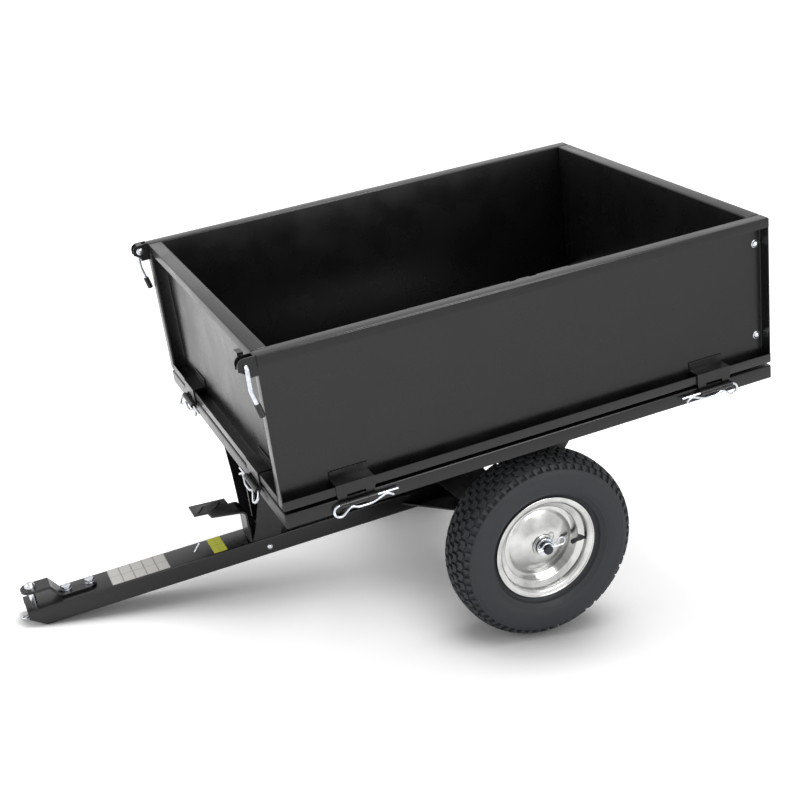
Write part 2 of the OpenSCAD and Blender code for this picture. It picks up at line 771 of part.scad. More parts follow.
// The rear panel's ends are notched, so that it folds past the side panels' bolts
module rear_panel() posed() color(black) difference() {
    on_rear() end_panel();
    for (side = [0, 1]) mirror([0, side, 0]) for (z = bolt_heights)
        translate([bed_l / 2 - panel_d - 1, bed_w / 2 - panel_bolt_tip - 2, z - 15])
            cube([panel_d / 2 + 7, panel_bolt_tip - panel_d + 4, 22]);
}

// Corner latches: X from the bed's front, Y from the bed's side, Z from the latch pivot

module at_left_latch() {
    translate([-bed_l / 2 - latch_out, -bed_w / 2, rim_z - latch_down]) children();
}
module at_right_latch() {
    mirror([0, 1, 0]) at_left_latch() children();
}

module latch_bracket() {
    difference() {
        union() {
            for (y = ears) side_plate(y + ear_t / 2, ear_t) {
                circle(r = ear_r);
                translate([0, -23]) square([latch_out, 23 + ear_r]);
                translate([-ear_r, -9]) square([ear_r, 9]);
            }
            translate([latch_out - ear_t, ears[0], -23]) cube([ear_t, ears[1] + ear_t - ears[0], 23 + ear_r]);
        }
        rod_y(max(lever_d, latch_bolt_d) + 2 * run_fit, -1, panel_d);
    }
}

module latch_bolt() {
    rod_y(latch_bolt_d, latch_mid + near / 2, finger_from + finger_web + 0.5);
    translate([0, finger_from + finger_web + 0.1, 0]) rotate([-90, 0, 0]) dome(16, 3.4);
}

// One bent bar: a pin through the outer ear, an elbow outside it and the lever with its grip
latch_mid = (ears[0] + ears[1] + ear_t) / 2;
lever_end = 36;
elbow_r = 7;
lever_y = ears[0] - near - elbow_r;
module down_the_lever() {
    translate([0, lever_y, 0]) rotate([90, 90, 0]) children();
}

module latch_lever() {
    root = ears[0] - near;
    path = bent_path([[lever_l - elbow_r, lever_bend_r, lever_bend], [lever_end, 1, 0]], [elbow_r, 0]);
    tube(concat(
        [[0, latch_mid - near / 2, 0]],
        [for (a = [0:15:90]) [0, root - elbow_r * sin(a), elbow_r * (cos(a) - 1)]],
        [for (q = path) [q[1], lever_y, -q[0]]]
    ), lever_d / 2, 12, [1, 0, 0]);
}

module latch_grip() {
    down_the_lever() translate([lever_l, lever_bend_r, 0]) rotate([0, 0, lever_bend])
        translate([lever_end - 12, -lever_bend_r, 0]) rotate([0, 90, 0]) difference() {
            cylinder(d = lever_d + 4, h = 26);
            translate([0, 0, -1]) cylinder(d = lever_d + 0.1, h = 13.2);
        }
}

module latch_finger() {
    difference() {
        union() {
            rod_y(22, finger_from, finger_from + finger_web);
            translate([-finger_w / 2, finger_from, 0]) cube([finger_w, finger_web, finger_low + finger_t]);
            translate([-finger_w / 2, finger_from, finger_low])
                cube([finger_w, finger_to - finger_from, finger_t]);
        }
        rod_y(latch_bolt_d, 0, panel_d);
    }
}

module left_latch_bracket() posed() color(black) at_left_latch() latch_bracket();
module left_latch_lever() posed() color(zinc) at_left_latch() latch_lever();
module left_latch_finger() posed() color(black) at_left_latch() latch_finger();
module left_latch_bolt() posed() color(zinc) at_left_latch() latch_bolt();
module left_latch_grip() posed() color(rubber) at_left_latch() latch_grip();
module right_latch_bracket() posed() color(black) at_right_latch() latch_bracket();
module right_latch_lever() posed() color(zinc) at_right_latch() latch_lever();
module right_latch_finger() posed() color(black) at_right_latch() latch_finger();
module right_latch_bolt() posed() color(zinc) at_right_latch() latch_bolt();
module right_latch_grip() posed() color(rubber) at_right_latch() latch_grip();

// The wheels: Y from the middle of the tyre, outwards

module at_right_wheel() {
    translate([0, wheel_y, 0]) children();
}
module at_left_wheel() {
    mirror([0, 1, 0]) at_right_wheel() children();
}
module turned() {
    rotate([-90, 0, 0]) rotate_extrude($fn = 96) children();
}

// Rounded box section of the tyre, as a superellipse
function tyre_point(t, half, rise) = [
    tyre_mid + rise * sign(sin(t)) * pow(abs(sin(t)), 2 / tyre_square),
    half * sign(cos(t)) * pow(abs(cos(t)), 2 / tyre_square)
];

module tyre() {
    open_at = 60;
    seat = rim_w / 2 - 4.5;
    turned() polygon(concat(
        [for (t = [-open_at:6:180 + open_at]) tyre_point(t, tyre_w / 2, tyre_rise)],
        [[rim_r + 1, -seat], [bead_r + near, -seat], [bead_r + near, -seat + 12]],
        [for (t = [180 + open_at:-8:-open_at]) tyre_point(t, tyre_w / 2 - tyre_wall, tyre_rise - tyre_wall)],
        [[bead_r + near, seat - 12], [bead_r + near, seat], [rim_r + 1, seat]]
    ));
}

disc_y = 4;
disc_ring = 70;

module rim() {
    half = rim_w / 2;
    inner = bead_r - rim_t;
    well = well_r - rim_t;
    difference() {
        union() {
            turned() polygon([
                [rim_r, -half], [rim_r - 1, -half + 2.5], [bead_r + 1, -half + 3.5], [bead_r, -half + 4],
                [bead_r, -17], [well_r, -12], [well_r, 12], [bead_r, 17], [bead_r, half - 4],
                [bead_r + 1, half - 3.5], [rim_r - 1, half - 2.5], [rim_r, half], [rim_r - 2.5, half],
                [inner + 2.5, half - 1], [inner, half - 3], [inner, 18.5], [well, 13.5], [well, -13.5],
                [inner, -18.5], [inner, -half + 3], [inner + 2.5, -half + 1], [rim_r - 2.5, -half]
            ]);
            turned() polygon([
                [well + eps, disc_y], [disc_ring, disc_y], [disc_ring - 5, disc_y + 4], [40, disc_y + 15],
                [28, disc_y + 18], [hub_d / 2 + run_fit, disc_y + 18], [hub_d / 2 + run_fit, disc_y + 15],
                [28.5, disc_y + 15], [40.5, disc_y + 12], [disc_ring - 3, disc_y + 0.5],
                [disc_ring + 1, disc_y - 3], [well + eps, disc_y - 3]
            ]);
        }
        at_valve() cylinder(d = 11.6, h = 40, center = true);
    }
}

module at_valve() {
    rotate([0, 9, 0]) translate([bead_r - 8, 15.5, 0])
        rotate([0, -90, 0]) rotate([-24, 0, 0]) children();
}

module valve() {
    at_valve() {
        translate([0, 0, -7]) cylinder(d = 11.4, h = 13);
        translate([0, 0, 6 - eps]) cylinder(d1 = 11.4, d2 = 8.4, h = 6);
        translate([0, 0, 12 - 2 * eps]) cylinder(d = 8.4, h = 10);
        translate([0, 0, 22 - 3 * eps]) cylinder(d = 9.6, h = 8);
    }
}

module hub() {
    difference() {
        union() {
            rod_y(hub_d, hub_in, hub_out);
            rod_y(hub_d + 7, disc_y + 18.1, disc_y + 20);
        }
        rod_y(bush_d, hub_in - 1, hub_out + 1);
    }
}

module hub_bushes() {
    depth = 18;
    difference() {
        union() {
            rod_y(bush_d, hub_in, hub_in + depth);
            rod_y(hub_d - 4, hub_in - bush_flange, hub_in);
            rod_y(bush_d, hub_out - depth, hub_out);
            rod_y(hub_d - 4, hub_out, hub_out + bush_flange);
        }
        rod_y(axle_d + 2 * run_fit, hub_in - 9, hub_out + 9);
    }
}

module left_tyre() posed() color(rubber) at_left_wheel() tyre();
module left_rim() posed() color(polished) at_left_wheel() rim();
module left_hub() posed() color(polished) at_left_wheel() hub();
module left_hub_bushes() posed() color(rubber) at_left_wheel() hub_bushes();
module left_valve() posed() color(rubber) at_left_wheel() valve();
module right_tyre() posed() color(rubber) at_right_wheel() tyre();
module right_rim() posed() color(polished) at_right_wheel() rim();
module right_hub() posed() color(polished) at_right_wheel() hub();
module right_hub_bushes() posed() color(rubber) at_right_wheel() hub_bushes();
module right_valve() posed() color(rubber) at_right_wheel() valve();

drawbar();
axle_sleeve();
axle_braces();
axle();
axle_spacers();
axle_washers();
axle_clips();
bed_rest();
rest_pads();
rest_bolt();
anchor_pin();
hitch_strap();
hitch_bolts();
hitch_pin();
hitch_pin_clip();
latch_pedal();
pedal_pin();
pedal_spring();
tray();
tray_channels();
left_pivot_plate();
right_pivot_plate();
pivot_bushes();
striker();
tray_knuckles();
left_hinge_clips();
right_hinge_clips();
front_hinge_clips();
rear_hinge_clips();
left_panel();
left_panel_hinges();
left_panel_bolts();
right_panel();
right_panel_hinges();
right_panel_bolts();
front_panel();
front_panel_hinges();
rear_panel();
rear_panel_hinges();
left_latch_bracket();
left_latch_lever();
left_latch_finger();
left_latch_bolt();
left_latch_grip();
right_latch_bracket();
right_latch_lever();
right_latch_finger();
right_latch_bolt();
right_latch_grip();
left_tyre();
left_rim();
left_hub();
left_hub_bushes();
left_valve();
right_tyre();
right_rim();
right_hub();
right_hub_bushes();
right_valve();
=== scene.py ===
# %% [markdown]
# # A tipping dump cart for a small tractor
#
# The measured model of the cart is loaded as a fixed frame. This lesson dresses it: folded
# sheet steel with real bend radii, bent spring wire, turf tyres with their tread, pressed
# wheels, weld beads and labels. Each piece is drawn level and in millimetres, as on a
# maker's drawing, and is then set down on its tyres and its drawbar by one matrix.

# %% Load the frame
import math
import random

import bmesh
import bpy
from mathutils import Matrix, Vector


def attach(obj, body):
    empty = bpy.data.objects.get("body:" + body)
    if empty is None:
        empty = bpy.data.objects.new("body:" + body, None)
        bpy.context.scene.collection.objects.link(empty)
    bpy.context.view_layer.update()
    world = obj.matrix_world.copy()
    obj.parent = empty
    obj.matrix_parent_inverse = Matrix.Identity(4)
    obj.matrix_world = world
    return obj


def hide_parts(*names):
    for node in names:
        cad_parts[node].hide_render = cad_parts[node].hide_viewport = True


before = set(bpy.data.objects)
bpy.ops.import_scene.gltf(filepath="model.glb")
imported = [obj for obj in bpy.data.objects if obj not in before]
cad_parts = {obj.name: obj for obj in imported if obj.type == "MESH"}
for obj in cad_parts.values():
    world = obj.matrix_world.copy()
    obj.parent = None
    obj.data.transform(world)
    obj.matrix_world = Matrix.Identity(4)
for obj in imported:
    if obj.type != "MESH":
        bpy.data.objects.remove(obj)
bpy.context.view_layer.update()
scene = bpy.context.scene
scene.view_settings.view_transform = "Standard"
random.seed(7)

# %% [markdown]
# The cart rests on its tyres and on the nose of its drawbar, so it leans forward by almost
# 11 degrees. One matrix turns the level drawing to that pose and millimetres to metres.

# %% Level drawing to the floor
NOSE_DOWN = math.radians(10.778492)
AXLE = Vector((245.6677, 0.0, 196.0))
TO_FLOOR = (
    Matrix.Scale(0.001, 4)
    @ Matrix.Translation(AXLE)
    @ Matrix.Rotation(-NOSE_DOWN, 4, "Y")
)


def shift(x=0.0, y=0.0, z=0.0):
    return Matrix.Translation((x, y, z))


def turn(degrees, axis):
    return Matrix.Rotation(math.radians(degrees), 4, axis)


def flip(x=1, y=1, z=1):
    return Matrix.Diagonal((x, y, z, 1.0))


# %% [markdown]
# ## The camera
#
# A studio picture from the left front, slightly above the bed. A lens of 62 mm keeps the
# verticals nearly parallel, and the camera leans a little to one side.

# %% Camera
eye = Vector((-1.03889, -2.51640, 1.41198))
ahead = Vector((0.380141, 0.857066, -0.347752)).normalized()
above = Vector((0.092444, 0.338888, 0.936274))
across = ahead.cross(above).normalized()
above = across.cross(ahead)
lens = bpy.data.cameras.new("studio_camera")
lens.lens = 62.198
lens.sensor_width = 36.0
lens.clip_end = 50.0
camera = bpy.data.objects.new("studio_camera", lens)
camera.matrix_world = Matrix(
    (
        (across.x, above.x, -ahead.x, eye.x),
        (across.y, above.y, -ahead.y, eye.y),
        (across.z, above.z, -ahead.z, eye.z),
        (0, 0, 0, 1),
    )
)
scene.collection.objects.link(camera)
scene.camera = camera
print("camera at", [round(v, 3) for v in eye])

# %% [markdown]
# ## Finishes
#
# Every finish starts from what the real surface is. Colours are written as they look on a
# screen and turned to linear light by one function, and one other function adds a node
# with its settings and its links.

# %% Helpers for finishes
NOISE_LOW, NOISE_HIGH = 0.3, 0.7  # most of a noise pattern lies between these two


def linear(hex_colour):
    """sRGB hex to a linear colour with alpha."""
    parts = [int(hex_colour[i : i + 2], 16) / 255 for i in (1, 3, 5)]
    return [p / 12.92 if p <= 0.04045 else ((p + 0.055) / 1.055) ** 2.4 for p in parts] + [1.0]


def finish(name, colour, roughness, metallic=0.0, **sockets):
    """A new material with its shader's own sockets set, and its tree."""
    material = bpy.data.materials.new(name)
    material.use_nodes = True
    tree = material.node_tree
    shader = tree.nodes["Principled BSDF"]
    shader.inputs["Base Color"].default_value = linear(colour)
    shader.inputs["Roughness"].default_value = roughness
    shader.inputs["Metallic"].default_value = metallic
    for socket, value in sockets.items():
        shader.inputs[socket.replace("_", " ")].default_value = value
    return material, tree, shader


def add(tree, kind, links=None, **settings):
    """Adds one node. links gives its inputs: a value, or a socket of another node."""
    node = tree.nodes.new(kind)
    for key, value in settings.items():
        setattr(node, key, value)
    for key, value in (links or {}).items():
        if isinstance(value, bpy.types.NodeSocket):
            tree.links.new(value, node.inputs[key])
        else:
            node.inputs[key].default_value = value
    return node


def pattern(tree, vector, size_mm, detail=3.0):
    """Noise whose grains measure about size_mm."""
    inputs = {"Vector": vector, "Scale": 1000.0 / size_mm, "Detail": detail}
    return add(tree, "ShaderNodeTexNoise", inputs).outputs["Fac"]


def spread(tree, source, low, high):
    """Maps a pattern from its middle range to low..high."""
    ends = {"From Min": NOISE_LOW, "From Max": NOISE_HIGH, "To Min": low, "To Max": high}
    return add(tree, "ShaderNodeMapRange", {"Value": source, **ends}).outputs["Result"]


def tint(tree, source, dark, light):
    """A colour that follows a pattern from dark to light."""
    ramp = add(tree, "ShaderNodeValToRGB", {"Fac": source})
    for stop, place, colour in zip(
        ramp.color_ramp.elements, (NOISE_LOW, NOISE_HIGH), (dark, light)
    ):
        stop.position = place
        stop.color = linear(colour)
    return ramp.outputs["Color"]


def relief(tree, shader, height, strength, depth_mm):
    """Turns a pattern into a relief of a fraction of a millimetre."""
    inputs = {"Height": height, "Strength": strength, "Distance": depth_mm / 1000}
    bump = add(tree, "ShaderNodeBump", inputs)
    tree.links.new(bump.outputs["Normal"], shader.inputs["Normal"])


def varied(name, colour, roughness, metallic, gloss, tones, grain, detail=3.0, **sockets):
    """A finish whose gloss and tone drift from place to place, over a fine grain.

    gloss is (size_mm, low, high), tones is (size_mm, dark, light), and grain is
    (size_mm, detail, strength, depth_mm).
    """
    material, tree, shader = finish(name, colour, roughness, metallic, **sockets)
    place = add(tree, "ShaderNodeTexCoord").outputs["Object"]
    cloud = pattern(tree, place, gloss[0], detail)
    tree.links.new(spread(tree, cloud, *gloss[1:]), shader.inputs["Roughness"])
    cloud = pattern(tree, place, tones[0], detail)
    tree.links.new(tint(tree, cloud, *tones[1:]), shader.inputs["Base Color"])
    size_mm, fineness, strength, depth_mm = grain
    relief(tree, shader, pattern(tree, place, size_mm, fineness), strength, depth_mm)
    return material


# %% [markdown]
# ### Satin black powder coat on steel
#
# Powder is sprayed on and baked, so it flows into a skin with a faint orange peel of about
# 2 mm and shows soft, broad reflections. Handling leaves it slightly uneven in gloss.

# %% Powder coat
coat = varied(
    "powder_coat_satin_black",
    "#131314",
    roughness=0.27,
    metallic=0.0,
    gloss=(70.0, 0.24, 0.32),
    tones=(130.0, "#111112", "#171718"),
    grain=(2.2, 1.0, 0.12, 0.25),
    IOR=1.45,
)

# %% [markdown]
# ### Bright zinc plating
#
# Bolts, pins and spring wire are plated with zinc: a bluish white metal with fine crystals
# that cloud its gloss from place to place.

# %% Zinc plate
zinc = varied(
    "zinc_plated_steel",
    "#c9ced4",
    roughness=0.24,
    metallic=1.0,
    gloss=(6.0, 0.17, 0.33),
    tones=(9.0, "#b7bcc3", "#dfe3e8"),
    grain=(1.2, 2.0, 0.15, 0.1),
)

# %% [markdown]
# ### Plain dark steel
#
# The axle is bright-drawn bar that has darkened, with a thin film of oil that clouds it and
# a fine grain.

# %% Axle steel
dark_steel = varied(
    "axle_steel_dark",
    "#35373a",
    roughness=0.38,
    metallic=1.0,
    gloss=(5.0, 0.3, 0.46),
    tones=(14.0, "#2c2e31", "#45484c"),
    grain=(0.8, 1.0, 0.15, 0.1),
)

# %% [markdown]
# ### Tyre rubber
#
# Turf tyre rubber is dark blue-grey and dull. A bloom of wax and dust lightens it in
# patches of a few centimetres, and the mould leaves a fine grain.

# %% Tyre rubber
rubber = varied(
    "tyre_rubber",
    "#2f3236",
    roughness=0.72,
    metallic=0.0,
    gloss=(45.0, 0.62, 0.8),
    tones=(45.0, "#26292d", "#34383d"),
    grain=(1.6, 3.0, 0.3, 0.2),
    detail=5.0,
    IOR=1.5,
)

# %% [markdown]
# ### Moulded black rubber and plastic
#
# Grips, pads, bushes and valves are moulded, with a matt skin and a fine grain.

# %% Moulded rubber
moulded = varied(
    "moulded_black_rubber",
    "#171717",
    roughness=0.5,
    metallic=0.0,
    gloss=(8.0, 0.42, 0.58),
    tones=(12.0, "#141414", "#1d1d1d"),
    grain=(0.9, 1.0, 0.2, 0.1),
    IOR=1.5,
)

# %% [markdown]
# ### Pressed wheel steel
#
# The wheels are spun and pressed from sheet, so they carry fine rings round the axle. The
# rings are drawn from the distance to the axle, at a pitch of about 1 mm, which is as fine
# as the picture can hold.

# %% Wheel steel
rim_steel, tree, shader = finish("wheel_steel_silver", "#cdcdcb", 0.3, 1.0)
place = add(tree, "ShaderNodeTexCoord").outputs["Object"]
axle_place = (AXLE.x / 1000, 0, AXLE.z / 1000)
steps = {"SUBTRACT": axle_place, "MULTIPLY": (1.0, 0.0, 1.0)}
from_axle = place
for operation, value in steps.items():
    node = add(tree, "ShaderNodeVectorMath", {0: from_axle, 1: value}, operation=operation)
    from_axle = node.outputs["Vector"]
radius = add(tree, "ShaderNodeVectorMath", {0: from_axle}, operation="LENGTH").outputs["Value"]
ring_noise = {"W": radius, "Scale": 900.0, "Detail": 2.0}
rings = add(tree, "ShaderNodeTexNoise", ring_noise, noise_dimensions="1D").outputs["Fac"]
cloud = pattern(tree, place, 30.0)
tree.links.new(spread(tree, cloud, 0.13, 0.24), shader.inputs["Roughness"])
tree.links.new(tint(tree, cloud, "#b2b2b1", "#cdcdcb"), shader.inputs["Base Color"])
relief(tree, shader, rings, 0.25, 0.12)

# %% [markdown]
# ### Vinyl labels
#
# The two labels on the drawbar are vinyl under a clear film. They stay bare here, with only
# the pale rules that divide a label into its fields. A brick pattern draws them along the
# label's own length and width.


# %% Vinyl
def vinyl(name, ground, rule, fields):
    """fields is the number of fields along and across the label."""
    material, tree, shader = finish(name, ground, 0.32, IOR=1.46)
    place = add(tree, "ShaderNodeTexCoord").outputs
    rules = {
        "Vector": place["UV"],
        "Color1": linear(ground),
        "Color2": linear(ground),
        "Mortar": linear(rule),
        "Scale": 1.0,
        "Mortar Size": 0.012,
        "Mortar Smooth": 0.2,
        "Brick Width": 1.0 / fields[0],
        "Row Height": 1.0 / fields[1],
    }
    bricks = add(tree, "ShaderNodeTexBrick", rules, offset=0.0)
    tree.links.new(bricks.outputs["Color"], shader.inputs["Base Color"])
    film = spread(tree, pattern(tree, place["Object"], 15.0), 0.26, 0.4)
    tree.links.new(film, shader.inputs["Roughness"])
    return material


# %% [markdown]
# ## From a drawing to a piece
#
# A bmesh in level millimetres becomes a finished object: it is set on the floor, its faces
# are turned outwards, it gets its finish, and it rides on its body.


# %% Finish a piece
def smooth(mesh, degrees=30.0):
    mesh.polygons.foreach_set("use_smooth", [True] * len(mesh.polygons))
    mesh.set_sharp_from_angle(angle=math.radians(degrees))


def settle(
    bm, name, body, material, replaced=(), normals=True, matrix=TO_FLOOR, sharp=30.0
):
    """Bakes the level drawing into a mesh on the floor and hangs it on its body."""
    bm.transform(matrix)
    if normals:
        bmesh.ops.recalc_face_normals(bm, faces=bm.faces[:])
    mesh = bpy.data.meshes.new(name)
    bm.to_mesh(mesh)
    bm.free()
    mesh.materials.append(material)
    smooth(mesh, sharp)
    piece = bpy.data.objects.new(name, mesh)
    scene.collection.objects.link(piece)
    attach(piece, body)
    if replaced:
        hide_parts(*replaced)
    return piece


def bevelled(piece, width_mm, segments=2, degrees=35.0):
    """Breaks the sharp edges of a piece, so that they catch the light."""
    edge = piece.modifiers.new("broken_edges", "BEVEL")
    edge.width = width_mm / 1000
    edge.segments = segments
    edge.limit_method = "ANGLE"
    edge.angle_limit = math.radians(degrees)
    edge.harden_normals = True
    return piece


def sheet_metal(piece, sheet_mm, edge_mm):
    """Gives a folded skin the thickness of its sheet, inwards, and breaks its cut edges."""
    wall = piece.modifiers.new("sheet", "SOLIDIFY")
    wall.thickness = sheet_mm / 1000
    wall.offset = -1.0
    wall.use_even_offset = True
    return bevelled(piece, edge_mm, 1, 60.0)


def join_copies(target, source, matrix):
    """Adds a moved copy of one bmesh to another."""
    mesh = bpy.data.meshes.new("copy")
    source.to_mesh(mesh)
    mesh.transform(matrix)
    if matrix.determinant() < 0:
        mesh.flip_normals()
    target.from_mesh(mesh)
    bpy.data.meshes.remove(mesh)


# %% [markdown]
# ## Pieces whose measured shape is right
#
# Most forged, cut and turned pieces need only clean edges. The measured mesh is a set of
# loose triangles, so a copy is merged, its flat faces are joined, and a small bevel breaks
# the edges.

# %% Edge-broken copies
MERGE_M, FLAT_DEG = 1e-5, 0.6


def measured(node, material, body, width_mm):
    """A merged copy of a measured piece with its edges broken."""
    bm = bmesh.new()
    bm.from_mesh(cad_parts[node].data)
    bmesh.ops.remove_doubles(bm, verts=bm.verts[:], dist=MERGE_M)
    bmesh.ops.dissolve_limit(
        bm,
        angle_limit=math.radians(FLAT_DEG),
        verts=bm.verts[:],
        edges=bm.edges[:],
        delimit={"NORMAL"},
    )
    piece = settle(
        bm,
        node + "_finished",
        body,
        material,
        (node,),
        normals=False,
        matrix=Matrix.Identity(4),
    )
    return bevelled(piece, width_mm)


# for each body, its pieces and the width of their broken edges in millimetres
black_pieces = {
    "chassis": {"axle_sleeve": 0.6, "axle_braces": 0.8, "bed_rest": 0.9, "hitch_strap": 1.2},
    "pedal": {"latch_pedal": 0.8},
    "bed": {
        "tray_channels": 0.8, "left_pivot_plate": 0.8, "right_pivot_plate": 0.8,
        "striker": 0.6, "tray_knuckles": 0.8,
    },
    "left_side": {"left_panel_hinges": 1.0, "left_latch_bracket": 0.6},
    "right_side": {"right_panel_hinges": 1.0, "right_latch_bracket": 0.6},
    "front_side": {"front_panel_hinges": 1.0},
    "rear_side": {"rear_panel_hinges": 1.0},
    "left_latch": {"left_latch_finger": 0.5},
    "right_latch": {"right_latch_finger": 0.5},
}
zinc_pieces = {
    "chassis": {
        "axle_spacers": 0.5, "axle_washers": 0.5, "rest_bolt": 0.5, "anchor_pin": 0.8,
        "hitch_bolts": 0.6, "pedal_pin": 0.5,
    },
    "hitch_pin": {"hitch_pin": 0.6},
    "left_side": {"left_panel_bolts": 0.4},
    "right_side": {"right_panel_bolts": 0.4},
    "left_latch": {"left_latch_bolt": 0.4},
    "right_latch": {"right_latch_bolt": 0.4},
}
moulded_pieces = {
    "chassis": {"rest_pads": 0.5},
    "bed": {"pivot_bushes": 0.5},
    "left_wheel": {"left_hub_bushes": 0.5, "left_valve": 0.5},
    "right_wheel": {"right_hub_bushes": 0.5, "right_valve": 0.5},
}
for pieces, material, slot in (
    (black_pieces, coat, "black_paint"),
    (zinc_pieces, zinc, "zinc_plate"),
    (moulded_pieces, moulded, "black_rubber"),
    ({"chassis": {"axle": 0.8}}, dark_steel, "zinc_plate"),
    ({"left_wheel": {"left_hub": 0.8}}, rim_steel, "wheel_rim"),
    ({"right_wheel": {"right_hub": 0.8}}, rim_steel, "wheel_rim"),
):
    for body, nodes in pieces.items():
        for node, width_mm in nodes.items():
            measured(node, material, body, width_mm)

# %% [markdown]
# ## The folded panels
#
# Each panel is one steel sheet, folded at all four edges, with an outer lip along the top
# and the bottom. It starts as a box without its outer middle. The folds get a radius of
# about 3 mm, because sheet steel never bends sharp, and the sheet gets its 2 mm at the end.

# %% Sizes of the bed
BED_L, BED_W, BED_Z = 1040.0, 810.0, 235.0
TRAY_H = 27.0
PANEL_Z, PANEL_H, PANEL_D, LIP = 268.0, 303.0, 30.0, 19.0
PANEL_PLAY = 1.0  # how much shorter the end panels are than the gap between the side panels
SHEET, FOLD, SHEET_EDGE = 2.0, 3.0, 0.35
HINGE_Z, HINGE_OUT = 253.0, 8.0
SIDES = {
    "left": shift(y=-BED_W / 2),
    "right": flip(y=-1) @ shift(y=-BED_W / 2),
    "front": turn(-90, "Z") @ shift(y=-BED_L / 2),
    "rear": turn(90, "Z") @ shift(y=-BED_L / 2),
}


def plain_box(length, depth, height, low):
    """A box from y = 0 inwards with its lower face on low."""
    bm = bmesh.new()
    bmesh.ops.create_cube(bm, size=1.0)
    bmesh.ops.scale(bm, vec=(length, depth, height), verts=bm.verts)
    bmesh.ops.translate(bm, vec=(0, depth / 2, low + height / 2), verts=bm.verts)
    bm.normal_update()
    return bm


def round_folds(bm, radius, segments=3):
    """Rounds every fold, that is every edge between two faces that meet at an angle."""
    bmesh.ops.bevel(
        bm,
        geom=[e for e in bm.edges if len(e.link_faces) == 2 and e.calc_face_angle() > 0.5],
        offset=radius,
        offset_type="OFFSET",
        segments=segments,
        profile=0.5,
        affect="EDGES",
        clamp_overlap=False,
        material=-1,
    )


def facing(bm, direction, low=-1e9, high=1e9):
    """The faces that look in a direction, with their middle's height between two limits."""
    way = Vector(direction)
    return [
        f for f in bm.faces if f.normal.dot(way) > 0.9 and low < f.calc_center_median().z < high
    ]


def split_outer(bm, height):
    """Cuts those faces of the outer wall in two that reach from below to above a height."""
    crossed = []
    for face in facing(bm, (0, -1, 0)):
        heights = [v.co.z for v in face.verts]
        if min(heights) < height - 1 < height + 1 < max(heights):
            crossed.append(face)
    geom = crossed + [e for f in crossed for e in f.edges] + [v for f in crossed for v in f.verts]
    bmesh.ops.bisect_plane(
        bm, geom=list(dict.fromkeys(geom)), plane_co=(0, 0, height), plane_no=(0, 0, 1)
    )
    bm.normal_update()


def panel(side, length):
    """One folded panel on its side of the bed."""
    bm = plain_box(length, PANEL_D, PANEL_H, PANEL_Z)
    lower, upper = PANEL_Z + LIP, PANEL_Z + PANEL_H - LIP
    split_outer(bm, lower)
    split_outer(bm, upper)
    middle = facing(bm, (0, -1, 0), lower + 1, upper - 1)
    bmesh.ops.delete(bm, geom=middle, context="FACES")
    round_folds(bm, FOLD)
    bmesh.ops.recalc_face_normals(bm, faces=bm.faces[:])
    matrix = TO_FLOOR @ SIDES[side]
    # the wall has to face the load, also after a mirror, so that the sheet thickens outwards
    wall = max(bm.faces, key=lambda f: f.calc_area())
    if (wall.normal.y < 0) != (matrix.determinant() < 0):
        bmesh.ops.reverse_faces(bm, faces=bm.faces[:])
    piece = settle(
        bm,
        side + "_panel_sheet",
        side + "_side",
        coat,
        (side + "_panel",),
        normals=False,
        matrix=matrix,
    )
    return sheet_metal(piece, SHEET, SHEET_EDGE)


END_PANEL_L = BED_W - 2 * PANEL_D - PANEL_PLAY
for side, length in {
    "left": BED_L, "right": BED_L, "front": END_PANEL_L, "rear": END_PANEL_L,
}.items():
    piece = panel(side, length)
    print(piece.name, len(piece.data.polygons), "faces")

# %% [markdown]
# ## The tray
#
# The bed's floor is a shallow tray, open below, with edges turned down all round.

# %% Tray
bm = plain_box(BED_L, BED_W, TRAY_H, BED_Z)
bmesh.ops.delete(bm, geom=facing(bm, (0, 0, -1)), context="FACES")
bmesh.ops.translate(bm, vec=(0, -BED_W / 2, 0), verts=bm.verts)
round_folds(bm, FOLD)
bmesh.ops.recalc_face_normals(bm, faces=bm.faces[:])
tray = settle(bm, "tray_sheet", "bed", coat, ("tray",), normals=False)
sheet_metal(tray, SHEET, SHEET_EDGE)

# %% [markdown]
# ## The drawbar
#
# A rectangular tube of 72 by 40 mm with a 3 mm wall. Its corners are rolled to a radius of
# about 4 mm, and its nose is cut at a slant so that it slides over the ground.

# %% Drawbar tube
BAR_W, BAR_TOP, BAR_WALL, BAR_CORNER = 72.0, 20.0, 3.0, 4.0
BAR_END = 30.0  # how far the tube reaches behind the axle
NOSE_X, CUT_X, CUT_UP = 976.0, 943.0, 3.0  # the slant rises from CUT_X below to CUT_UP at the nose
bm = plain_box(NOSE_X + BAR_END, BAR_W, 2 * BAR_TOP, -BAR_TOP)
bmesh.ops.translate(bm, vec=((BAR_END - NOSE_X) / 2, -BAR_W / 2, 0), verts=bm.verts)
ends = facing(bm, (1, 0, 0)) + facing(bm, (-1, 0, 0))
bmesh.ops.delete(bm, geom=ends, context="FACES_ONLY")
bmesh.ops.bevel(
    bm,
    geom=[e for e in bm.edges if len(e.link_faces) == 2],
    offset=BAR_CORNER,
    segments=4,
    profile=0.5,
    affect="EDGES",
    clamp_overlap=True,
    material=-1,
)
bmesh.ops.bisect_plane(
    bm,
    geom=bm.verts[:] + bm.edges[:] + bm.faces[:],
    plane_co=(-CUT_X, 0, -BAR_TOP),
    plane_no=Vector((-(BAR_TOP + CUT_UP), 0, -(NOSE_X - CUT_X))).normalized(),
    clear_outer=True,
)
bmesh.ops.recalc_face_normals(bm, faces=bm.faces[:])
top = max(bm.faces, key=lambda f: f.calc_center_median().z)
if top.normal.z < 0:
    bmesh.ops.reverse_faces(bm, faces=bm.faces[:])
drawbar = settle(
    bm, "drawbar_tube", "chassis", coat, ("drawbar",), normals=False
)
